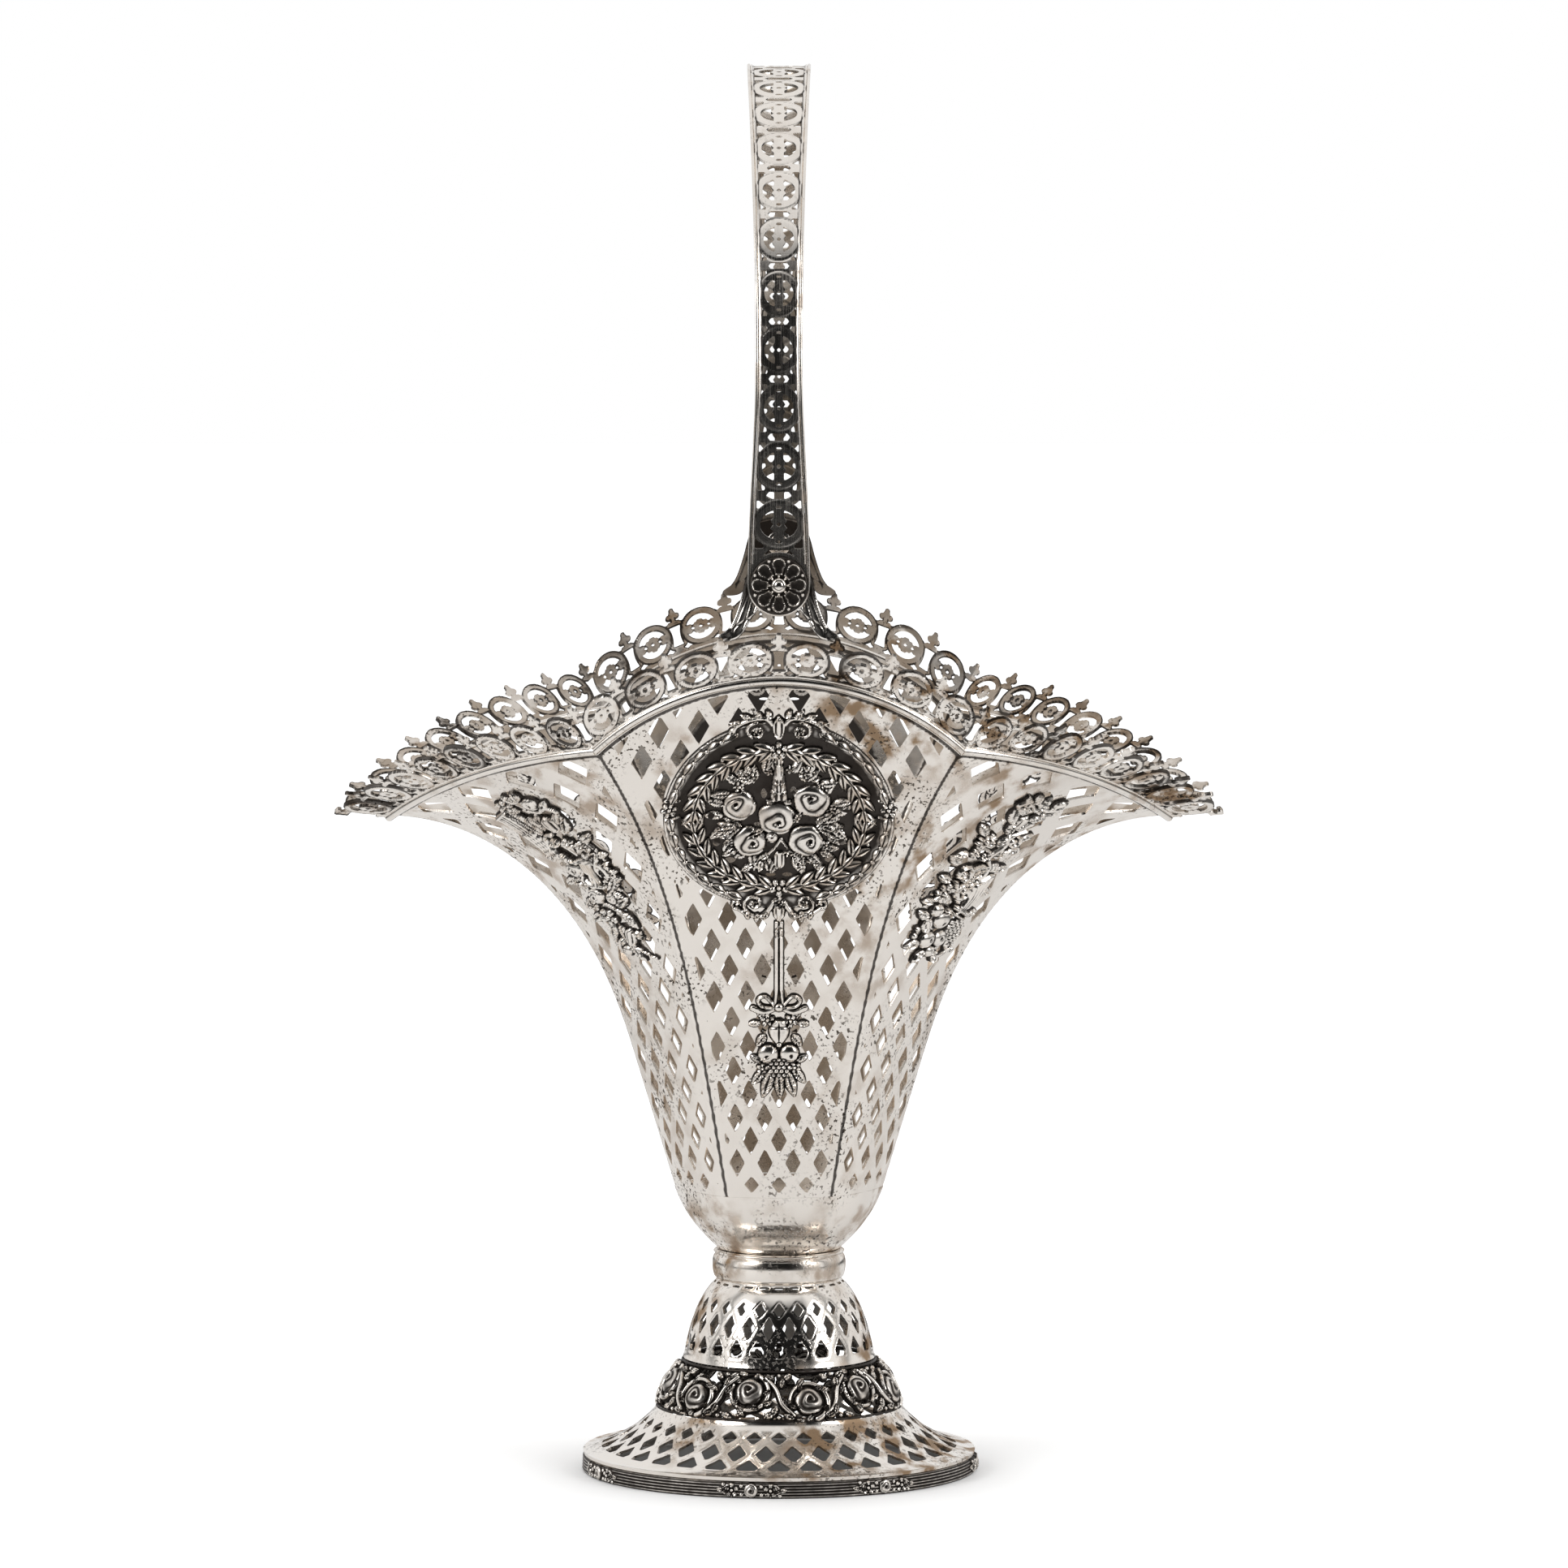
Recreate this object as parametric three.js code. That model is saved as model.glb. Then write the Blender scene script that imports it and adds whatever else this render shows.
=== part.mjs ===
// Pierced silver bride's basket: a round stepped foot, a six-sided flaring body of pierced
// panels, a pierced border round the rim, and an arched handle that swings on two rosettes.
// Millimetres, +Z up, the front panel faces -Y, the origin is under the middle of the foot.

import * as THREE from 'three';

const { cos, sin, asin, abs, min, max, hypot, PI, round, floor } = Math;

// Sheet and seats
const SHEET = 1.0;
const GAP = 0.3;

// Foot, from the table up
const FOOT_RADIUS = 63.5;
const RIM_HEIGHT = 5.0;
const RIM_REEDS = 4;
const REED_DEPTH = 0.7;
const RIM_WALL = 2.0;
const SKIRT_HEIGHT = 15.6;
const SKIRT_COLUMNS = 16;
const BAND_RADIUS = 39.4;
const BAND_HEIGHT = 15.6;
const BAND_ROSES = 12;
const DOME_RADIUS = 30.7;
const DOME_HEIGHT = 25.8;
const DOME_COLUMNS = 12;
const NECK_RADIUS = 19.6;
const COLLAR_HEIGHT = 9.4;
const COLLAR_SWELL = 1.5;
const CUP_HEIGHT = 19.8;

// Body: six panels between six seams
const SEAM_BASE_RADIUS = 33.5;
const MIDDLE_BASE_RADIUS = 31.6;
const SEAM_LENGTH = 162;
const STRAIGHT_LENGTH = 45;
const SEAM_LEAN = 17;
const CORNER_FLARE = 24;
const TIP_FLARE = 72.5;
const FRONT_LEAN = 14;
const FRONT_FLARE = 16;
const SIDE_LEAN = 14.5;
const SIDE_FLARE = 51;
const SIDE_DRIFT = 2;
const FRONT_ARCH = 20;
const SIDE_ARCH = 1.5;
const SEAM_GAP = 0.2;
const RIB_STEP = 1;
const LATTICE_PITCH_BASE = 12.4;
const LATTICE_PITCH_RIM = 22;
const LATTICE_HOLE_WIDTH = 0.6;
const LATTICE_HOLE_LENGTH = 0.96;
const LATTICE_MARGIN = 2.2;
const SEAM_STEPS = 10;
const RIM_STEPS = 16;
const CUP_STEPS = 4;
const FOOT_BOW = 0.04;

// Rim moulding and pierced border
const MOULDING_WIDTH = 3.2;
const MOULDING_HEIGHT = 1.9;
const BORDER_WIDTH = 16.5;
const BORDER_TIP_WIDTH = 19.5;
const BORDER_UPTURN = 6;
const BORDER_CELLS = 8;
const FINIAL_LENGTH = 2.0;

// Ornaments on the panels
const ROUNDEL_HALF_WIDTH = 35.5;
const ROUNDEL_HALF_LENGTH = 38.5;
const ROUNDEL_DROP = 51;
const ROUNDEL_SIDE = 8.89;
const ROUNDEL_FACETS = 16;
const PENDANT_LENGTH = 57.5;
const PENDANT_HALF_WIDTH = 8.5;
const PENDANT_CREST = 2.2;
const TROPHY_DROP = 13;
const TROPHY_LENGTH = 70;
const TROPHY_HALF_WIDTH = 14;
const TROPHY_CREST = 2.6;
const ORNAMENT_EDGE = 0.8;
const SEAT = 0.4;
const GROUND_STEP = 3.2;
const GOLDEN_ANGLE = PI * (3 - Math.sqrt(5));

// Swing handle and its pivots
const TOP_HEIGHT = 450;
const BRACKET_LEG = 17.3;
const BRACKET_SPREAD = 18.5;
const BRACKET_HEAD = 8.6;
const TOE_INNER = 0.68;
const PIN_RADIUS = 1.7;
const PIN_HEAD_RADIUS = 2.9;
const PIN_HEAD_THICKNESS = 1.2;
const BOSS_THICKNESS = 1.3;
const WASHER_THICKNESS = 0.7;
const WASHER_WIDTH = 2;
const ROSETTE_RADIUS = 9.0;
const ROSETTE_PETALS = 8;
const ROSETTE_EDGE = 0.6;
const ROSETTE_CREST = 1.7;
const ROSETTE_HUB = 1.0;
const HANDLE_END_WIDTH = 19.4;
const HANDLE_WAIST_WIDTH = 14.6;
const HANDLE_TOP_WIDTH = 20.3;
const HANDLE_PITCH = 17.8;
const HANDLE_WIRE = 0.9;

const degrees = (angle) => (angle * PI) / 180;
const vec = (x, y, z) => new THREE.Vector3(x, y, z);
const flat = (x, y) => new THREE.Vector2(x, y);
const mix = THREE.MathUtils.lerp;
const range = (count) => Array.from({ length: count }, (_, i) => i);

// Turned pieces have the facets of the pierced rings that they meet
const rimFacets = 2 * SKIRT_COLUMNS;
const neckFacets = 2 * DOME_COLUMNS;

// Heights that follow from the stages of the foot
const skirtTop = RIM_HEIGHT + SKIRT_HEIGHT;
const bandTop = skirtTop + BAND_HEIGHT;
const domeTop = bandTop + DOME_HEIGHT;
const collarTop = domeTop + COLLAR_HEIGHT;
const cupTop = collarTop + CUP_HEIGHT;
const panelBase = cupTop + GAP;

// Places of the ornaments up a panel, hung from its rim
const roundelCentre = SEAM_LENGTH + FRONT_ARCH - ROUNDEL_DROP;
const pendantHigh = roundelCentre - ROUNDEL_HALF_LENGTH - 1;
const pendantLow = pendantHigh - PENDANT_LENGTH;
const trophyHigh = SEAM_LENGTH - TROPHY_DROP;
const trophyLow = trophyHigh - TROPHY_LENGTH;

const silver = (name, colour, roughness) => {
  const finish = new THREE.MeshStandardMaterial({ color: colour, roughness, metalness: 1 });
  finish.name = name;
  return finish;
};
const bright = () => silver('polished silver', 0xd9d6cf, 0.2);
const aged = () => silver('oxidised relief silver', 0x8f887c, 0.38);

const basket = new THREE.Group();
basket.name = 'brides_basket';

function add(name, geometry, material) {
  const mesh = new THREE.Mesh(geometry, material);
  mesh.name = name;
  basket.add(mesh);
  return mesh;
}

// Flat patterns: points in the plane and the triangles that cover the metal between the holes.

function turnedLeft([a, b, c], points) {
  const area = (points[b].x - points[a].x) * (points[c].y - points[a].y)
    - (points[c].x - points[a].x) * (points[b].y - points[a].y);
  return area < 0 ? [a, c, b] : [a, b, c];
}

function cornerAngle(points, corner, left, right) {
  const a = points[left].clone().sub(points[corner]);
  const b = points[right].clone().sub(points[corner]);
  return Math.atan2(abs(a.cross(b)), a.dot(b));
}

// Swaps the shared edge of two triangles wherever that makes them rounder, so that a
// pattern bends smoothly when it is laid on a curved surface.
function evenOut({ points, faces }) {
  for (let changed = true, turn = 0; changed && turn < 30; turn += 1) {
    changed = false;
    const shared = new Map();
    faces.forEach((face, index) => {
      for (let k = 0; k < 3; k += 1) {
        const a = face[k];
        const b = face[(k + 1) % 3];
        const key = `${min(a, b)} ${max(a, b)}`;
        if (!shared.has(key)) shared.set(key, []);
        shared.get(key).push([index, a, b, face[(k + 2) % 3]]);
      }
    });
    const used = new Set();
    for (const pair of shared.values()) {
      if (pair.length < 2) continue;
      const [first, a, b, c] = pair[0];
      const [second, , , d] = pair[1];
      if (used.has(first) || used.has(second)) continue;
      const facing = cornerAngle(points, c, a, b) + cornerAngle(points, d, a, b);
      const atEnds = cornerAngle(points, a, c, d) < PI && cornerAngle(points, b, c, d) < PI;
      const cross = sideOf(points, c, d, a) * sideOf(points, c, d, b);
      if (facing > PI + 1e-6 && atEnds && cross < 0) {
        faces[first] = turnedLeft([a, d, c], points);
        faces[second] = turnedLeft([b, c, d], points);
        used.add(first).add(second);
        changed = true;
      }
    }
  }
  return { points, faces };
}

function sideOf(points, from, to, point) {
  const a = points[to].clone().sub(points[from]);
  const b = points[point].clone().sub(points[from]);
  return a.cross(b);
}

function pierce(outline, holes = []) {
  const points = outline.concat(...holes);
  const faces = THREE.ShapeUtils.triangulateShape(outline, holes)
    .map((face) => turnedLeft(face, points));
  return evenOut({ points, faces });
}

// Lays a pattern on a surface and gives it thickness. place(point) returns the outer and the
// inner position of one pattern point. Points that land together are welded, so a pattern
// may be given as repeated cells or wrap all the way round.
function bend(pattern, place) {
  const positions = [];
  const welded = new Map();
  const index = pattern.points.map((point) => {
    const [outer, inner] = place(point);
    const key = outer.toArray().map((value) => round(value * 2000)).join(' ');
    if (!welded.has(key)) {
      welded.set(key, positions.length / 6);
      positions.push(...outer.toArray(), ...inner.toArray());
    }
    return welded.get(key);
  });
  const corners = [];
  const edges = new Map();
  for (const face of pattern.faces) {
    const [a, b, c] = face.map((point) => index[point] * 2);
    corners.push(a, b, c, a + 1, c + 1, b + 1);
    for (const [from, to] of [[a, b], [b, c], [c, a]]) {
      if (edges.has(`${to} ${from}`)) edges.delete(`${to} ${from}`);
      else edges.set(`${from} ${to}`, [from, to]);
    }
  }
  for (const [from, to] of edges.values()) {
    corners.push(from, to + 1, to, from, from + 1, to + 1);
  }
  const geometry = new THREE.BufferGeometry();
  geometry.setAttribute('position', new THREE.Float32BufferAttribute(positions, 3));
  geometry.setIndex(corners);
  return geometry;
}

const diamond = (x, y, halfWidth, halfHeight) => [
  flat(x - halfWidth, y), flat(x, y - halfHeight), flat(x + halfWidth, y), flat(x, y + halfHeight),
];

// Turned pieces: a ring swept by a closed profile, or a solid whose profile ends on the axis.
function turned(profile, facets) {
  return new THREE.LatheGeometry(profile.map(([r, z]) => flat(r, z)), facets).rotateX(PI / 2);
}

// A pierced ring: one cell of the pattern repeated round a curved profile.
function piercedRing(profile, columns, makeCell) {
  const length = profile.getLength();
  const middle = profile.getPoint(0.5).x;
  const pitch = (2 * PI * middle) / columns;
  const cell = makeCell(pitch, length);
  const points = [];
  const faces = [];
  for (const column of range(columns)) {
    const first = points.length;
    cell.points.forEach((point) => points.push(flat(point.x + column * pitch, point.y)));
    cell.faces.forEach((face) => faces.push(face.map((corner) => corner + first)));
  }
  const place = (point) => {
    const along = THREE.MathUtils.clamp(point.y / length, 0, 1);
    const { x: radius, y: height } = profile.getPointAt(along);
    const slope = profile.getTangentAt(along);
    const angle = point.x / middle - PI / 2;
    const inwardRadius = radius - SHEET * abs(slope.y);
    const inwardHeight = height - SHEET * abs(slope.x);
    return [
      vec(radius * cos(angle), radius * sin(angle), height),
      vec(inwardRadius * cos(angle), inwardRadius * sin(angle), inwardHeight),
    ];
  };
  return bend({ points, faces }, place);
}

// One cell of a staggered lattice: holes of the first and third rows stand on the middle of
// the cell, and the second row falls on its two sides.
function latticeCell(pitch, length, rows, holeWidth) {
  const half = pitch / 2;
  const [low, middle, high] = rows.map(([centre, halfHeight]) => [centre * length, halfHeight]);
  const side = holeWidth / 2;
  const outline = [
    flat(-half, 0), flat(0, 0), flat(half, 0),
    flat(half, middle[0] - middle[1]), flat(half - side, middle[0]),
    flat(half, middle[0] + middle[1]),
    flat(half, length), flat(0, length), flat(-half, length),
    flat(-half, middle[0] + middle[1]), flat(-half + side, middle[0]),
    flat(-half, middle[0] - middle[1]),
  ];
  const holes = [diamond(0, low[0], side, low[1]), diamond(0, high[0], side * 0.85, high[1])];
  return pierce(outline, holes);
}

const profileCurve = (points) => new THREE.CubicBezierCurve(...points.map(([r, z]) => flat(r, z)));

// Foot

function footRim() {
  const outer = FOOT_RADIUS;
  const profile = [[outer - RIM_WALL, 0], [outer, 0]];
  const reed = RIM_HEIGHT / RIM_REEDS;
  for (const k of range(RIM_REEDS)) {
    const lean = 0.25 * k;
    if (k > 0) profile.push([outer - REED_DEPTH - lean, k * reed]);
    profile.push([outer - lean, (k + 0.5) * reed]);
  }
  profile.push([outer - 1.2, RIM_HEIGHT], [outer - RIM_WALL - 1.2, RIM_HEIGHT]);
  profile.push(profile[0]);
  return turned(profile, rimFacets);
}

function footSkirt() {
  const profile = profileCurve([
    [FOOT_RADIUS - 0.6, RIM_HEIGHT + GAP + SHEET],
    [FOOT_RADIUS - 11, RIM_HEIGHT + 3],
    [mix(BAND_RADIUS, FOOT_RADIUS, 0.16), skirtTop - SKIRT_HEIGHT * 0.35],
    [BAND_RADIUS, skirtTop - GAP / 2],
  ]);
  const rows = [[0.34, 3.0], [0.57, 3.4], [0.8, 3.0]];
  return piercedRing(profile, SKIRT_COLUMNS, (pitch, length) => latticeCell(
    pitch, length, rows, pitch * 0.52,
  ));
}

// The rose band: a scroll that runs round, open between the roses.
function roseBand() {
  const profile = profileCurve([
    [BAND_RADIUS + 0.1, skirtTop + GAP / 2],
    [BAND_RADIUS - 1.6, skirtTop + BAND_HEIGHT * 0.4],
    [DOME_RADIUS + 3.4, skirtTop + BAND_HEIGHT * 0.75],
    [DOME_RADIUS + 0.3, bandTop - GAP / 2],
  ]);
  const cell = (pitch, length) => {
    const half = pitch / 2;
    const outline = [
      flat(-half, 0), flat(0, 0), flat(half, 0),
      flat(half, length), flat(0, length), flat(-half, length),
    ];
    const up = [
      flat(-half * 0.55, length * 0.62), flat(half * 0.1, length * 0.72),
      flat(half * 0.35, length * 0.86), flat(-half * 0.4, length * 0.86),
    ];
    const down = up.map((point) => flat(-point.x, length - point.y));
    return pierce(outline, [up, down]);
  };
  return piercedRing(profile, BAND_ROSES, cell);
}

function footDome() {
  const profile = profileCurve([
    [DOME_RADIUS, bandTop + GAP],
    [DOME_RADIUS - 1.9, bandTop + DOME_HEIGHT * 0.45],
    [mix(NECK_RADIUS, DOME_RADIUS, 0.54), domeTop - DOME_HEIGHT * 0.2],
    [NECK_RADIUS, domeTop],
  ]);
  const rows = [[0.26, 3.2], [0.46, 4.4], [0.68, 3.0]];
  return piercedRing(profile, DOME_COLUMNS, (pitch, length) => latticeCell(
    pitch, length, rows, pitch * 0.55,
  ));
}

function neckCollar() {
  const low = domeTop + GAP;
  const profile = [
    [NECK_RADIUS - 4, low],
    [NECK_RADIUS + 0.4, low],
    [NECK_RADIUS + COLLAR_SWELL, low + COLLAR_HEIGHT * 0.28],
    [NECK_RADIUS + COLLAR_SWELL, low + COLLAR_HEIGHT * 0.5],
    [NECK_RADIUS - 0.3, low + COLLAR_HEIGHT * 0.75],
    [NECK_RADIUS - 0.3, collarTop],
    [NECK_RADIUS - 4, collarTop],
  ];
  profile.push(profile[0]);
  return turned(profile, neckFacets);
}

// Body. A rib is a line that climbs the body: it starts straight and leans outwards more and
// more, and past the rim its lean eases off again, which turns the border up.

function makeRib({ radius, azimuth, drift = 0, lean, flare, top = SEAM_LENGTH }) {
  const step = RIB_STEP;
  const leanAt = (s) => {
    const curved = max(0, min(s, top) - STRAIGHT_LENGTH) / (SEAM_LENGTH - STRAIGHT_LENGTH);
    const past = max(0, s - top) / BORDER_WIDTH;
    return degrees(lean + flare * curved ** 1.5 - BORDER_UPTURN * past);
  };
  const line = [[radius, panelBase]];
  for (let s = 0; s < SEAM_LENGTH + FRONT_ARCH + BORDER_WIDTH + 20; s += step) {
    const [r, z] = line[line.length - 1];
    const angle = leanAt(s + step / 2);
    line.push([r + step * sin(angle), z + step * cos(angle)]);
  }
  return (s) => {
    const k = max(0, floor(s / step));
    const part = s / step - k;
    const r = mix(line[k][0], line[k + 1][0], part);
    const z = mix(line[k][1], line[k + 1][1], part);
    const angle = degrees(azimuth + drift * (s / SEAM_LENGTH) ** 2);
    return vec(r * cos(angle), r * sin(angle), z);
  };
}

const cornerRib = (azimuth, drift) => makeRib({
  radius: SEAM_BASE_RADIUS, azimuth, drift, lean: SEAM_LEAN, flare: CORNER_FLARE,
});
const tipRib = (azimuth) => makeRib({
  radius: SEAM_BASE_RADIUS, azimuth, lean: SEAM_LEAN, flare: TIP_FLARE,
});
const frontMiddle = (azimuth) => makeRib({
  radius: MIDDLE_BASE_RADIUS,
  azimuth,
  lean: FRONT_LEAN,
  flare: FRONT_FLARE,
  top: SEAM_LENGTH + FRONT_ARCH,
});
const sideMiddle = (azimuth, drift) => makeRib({
  radius: MIDDLE_BASE_RADIUS,
  azimuth,
  drift,
  lean: SIDE_LEAN,
  flare: SIDE_FLARE,
  top: SEAM_LENGTH + SIDE_ARCH,
});

// The corner seams drift apart as they climb, so that the front panel takes the roundel.
const cornerReach = cornerRib(0, 0)(roundelCentre).x;
const cornerTurn = asin((ROUNDEL_HALF_WIDTH + ROUNDEL_SIDE) / cornerReach) - PI / 6;
const cornerDrift = (cornerTurn * 180) / PI / (roundelCentre / SEAM_LENGTH) ** 2;
const seams = [
  cornerRib(-120, -cornerDrift), cornerRib(-60, cornerDrift), tipRib(0),
  cornerRib(60, -cornerDrift), cornerRib(120, cornerDrift), tipRib(180),
];
const panels = [
  { name: 'front', middle: frontMiddle(-90), arch: FRONT_ARCH },
  { name: 'right_front', middle: sideMiddle(-30, SIDE_DRIFT), arch: SIDE_ARCH },
  { name: 'right_back', middle: sideMiddle(30, -SIDE_DRIFT), arch: SIDE_ARCH },
  { name: 'back', middle: frontMiddle(90), arch: FRONT_ARCH },
  { name: 'left_back', middle: sideMiddle(150, SIDE_DRIFT), arch: SIDE_ARCH },
  { name: 'left_front', middle: sideMiddle(-150, -SIDE_DRIFT), arch: SIDE_ARCH },
].map((panel, k) => ({
  ...panel, index: k, left: seams[k], right: seams[(k + 1) % 6],
}));

// u runs from -1 at the left seam to 1 at the right one, s climbs the panel.
function onPanel(panel, u, s) {
  const left = panel.left(s);
  const right = panel.right(s);
  const middle = panel.middle(s);
  const chord = right.clone().sub(left).multiplyScalar(u / 2);
  const dip = left.add(right).multiplyScalar(0.5).sub(middle).multiplyScalar(u * u);
  return middle.add(chord).add(dip);
}

function panelNormal(panel, u, s) {
  const d = 0.01;
  const across = onPanel(panel, u + d, s).sub(onPanel(panel, u - d, s));
  const up = onPanel(panel, u, s + 1).sub(onPanel(panel, u, max(0, s - 1)));
  return across.cross(up).normalize();
}

// The direction in which a sheet's thickness is measured. At a seam both panels use the same
// line, the mitre, so that their inner faces meet as their outer faces do.
function thicknessLine(panel, u, s) {
  const own = panelNormal(panel, u, s);
  const side = u < 0 ? -1 : 1;
  const neighbour = panels[(panel.index + side + 6) % 6];
  const here = panelNormal(panel, side, s);
  const there = panelNormal(neighbour, -side, s);
  const mitre = here.clone().add(there).divideScalar(1 + here.dot(there));
  return own.add(mitre.sub(here).multiplyScalar(abs(u) ** 6));
}

const isFront = (panel) => panel.arch === FRONT_ARCH;
const halfWidth = (panel, s) => panel.left(s).distanceTo(panel.right(s)) / 2;
// The border widens from the corners towards the two side tips.
function borderWidth(panel, u) {
  const tipAt = panel.name.startsWith('right') === panel.name.endsWith('front') ? 1 : -1;
  const towardsTip = isFront(panel) ? 0 : (1 + u * tipAt) / 2;
  return mix(BORDER_WIDTH, BORDER_TIP_WIDTH, THREE.MathUtils.clamp(towardsTip, 0, 1));
}

const rimLine = (panel, u) => SEAM_LENGTH + panel.arch * (1 - abs(u) ** 1.8);

// Places a pattern drawn in millimetres across and along a panel.
function laidOn(panel, raise = () => [0, -SHEET]) {
  return (point) => {
    const u = point.x / halfWidth(panel, point.y);
    const [outer, inner] = raise(point);
    const foot = onPanel(panel, u, point.y);
    const line = thicknessLine(panel, u, point.y);
    return [
      foot.clone().addScaledVector(line, outer),
      foot.clone().addScaledVector(line, inner),
    ];
  };
}

// The foot of the outline bows by a hair, because points exactly in line would be left out.
function panelOutline(panel) {
  const across = (u, s) => flat(u * (halfWidth(panel, s) - SEAM_GAP), s);
  const outline = [];
  const top = (u) => rimLine(panel, u) - GAP / 2;
  for (const k of range(CUP_STEPS)) {
    const u = (2 * k) / CUP_STEPS - 1;
    outline.push(across(u, FOOT_BOW * (1 - u * u)));
  }
  for (const k of range(SEAM_STEPS)) outline.push(across(1, (k / SEAM_STEPS) * top(1)));
  for (const k of range(RIM_STEPS)) {
    const u = 1 - (2 * k) / RIM_STEPS;
    outline.push(across(u, top(u)));
  }
  for (const k of range(SEAM_STEPS)) outline.push(across(-1, (1 - k / SEAM_STEPS) * top(1)));
  return outline;
}

// True where the metal stays whole for an ornament or its ground.
function underOrnament(panel, { x, y }) {
  if (isFront(panel)) {
    const across = x / (ROUNDEL_HALF_WIDTH + LATTICE_MARGIN);
    const along = (y - roundelCentre) / (ROUNDEL_HALF_LENGTH + LATTICE_MARGIN);
    const onStem = abs(x) < PENDANT_HALF_WIDTH * 0.8 && y > pendantLow && y < roundelCentre;
    return hypot(across, along) < 1 || onStem;
  }
  const along = (y - (trophyLow + trophyHigh) / 2) / (TROPHY_LENGTH / 2);
  return hypot(x / TROPHY_HALF_WIDTH, along) < 1;
}

function onMetal(panel, corner) {
  const room = halfWidth(panel, corner.y);
  const u = min(1, abs(corner.x) / room);
  return abs(corner.x) < room - LATTICE_MARGIN && corner.y > LATTICE_MARGIN
    && corner.y < rimLine(panel, u) - LATTICE_MARGIN && !underOrnament(panel, corner);
}

function latticeHoles(panel) {
  const holes = [];
  let s = 8;
  for (let row = 0; s < SEAM_LENGTH + panel.arch; row += 1) {
    const pitch = mix(LATTICE_PITCH_BASE, LATTICE_PITCH_RIM, s / SEAM_LENGTH);
    const shift = row % 2 ? 0.5 : 0;
    for (let column = -6; column <= 6; column += 1) {
      const hole = diamond(
        (column + shift) * pitch,
        s,
        (pitch * LATTICE_HOLE_WIDTH) / 2,
        (pitch * LATTICE_HOLE_LENGTH) / 2,
      );
      if (hole.every((corner) => onMetal(panel, corner))) holes.push(hole);
    }
    s += pitch * 0.76;
  }
  return holes;
}

function oval(centre, halfAcross, halfAlong, count) {
  return range(count).map((k) => {
    const angle = (2 * PI * k) / count;
    return flat(halfAcross * cos(angle), centre + halfAlong * sin(angle));
  });
}

// Points under an applied ornament, where the panel has no holes, so that it keeps its curve.
// They are spread as the seeds of a sunflower are, so that no three of them stand in line.
function groundPoints(low, high, across) {
  const count = round((high - low) / GROUND_STEP);
  return range(count).map((k) => {
    const reach = ((k + 0.5) / count) ** 0.5;
    const angle = k * GOLDEN_ANGLE;
    return [flat(across * reach * cos(angle), mix(low, high, (1 + reach * sin(angle)) / 2))];
  });
}

function panelGeometry(panel) {
  const holes = latticeHoles(panel);
  if (isFront(panel)) {
    holes.push(...groundPoints(pendantLow, pendantHigh - 3, PENDANT_HALF_WIDTH * 0.8));
    holes.push(oval(roundelCentre, ROUNDEL_HALF_WIDTH + GAP, ROUNDEL_HALF_LENGTH + GAP, ROUNDEL_FACETS));
  } else {
    holes.push(...groundPoints(trophyLow, trophyHigh, TROPHY_HALF_WIDTH * 0.8));
  }
  return bend(pierce(panelOutline(panel), holes), laidOn(panel));
}

// The half-round wire that covers the joint of panel and border.
function mouldingGeometry(panel) {
  const steps = RIM_STEPS;
  const section = [[-0.5, 0], [-0.25, 0.95], [0.25, 0.95], [0.5, 0]];
  const positions = [];
  const corners = [];
  const count = section.length;
  for (const k of range(steps + 1)) {
    const u = -1 + (2 * k) / steps;
    const trim = 1 - SEAM_GAP / halfWidth(panel, SEAM_LENGTH);
    for (const [along, height] of section) {
      const s = rimLine(panel, u) + along * MOULDING_WIDTH;
      const line = thicknessLine(panel, u * trim, s);
      const foot = onPanel(panel, u * trim, s);
      positions.push(...foot.addScaledVector(line, GAP + height * MOULDING_HEIGHT).toArray());
    }
  }
  for (const k of range(steps)) {
    for (const j of range(count)) {
      const a = k * count + j;
      const b = k * count + ((j + 1) % count);
      corners.push(a, a + count, b + count, a, b + count, b);
    }
  }
  const end = steps * count;
  for (let j = 1; j < count - 1; j += 1) corners.push(0, j, j + 1, end, end + j + 1, end + j);
  const geometry = new THREE.BufferGeometry();
  geometry.setAttribute('position', new THREE.Float32BufferAttribute(positions, 3));
  geometry.setIndex(corners);
  return geometry;
}

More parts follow.
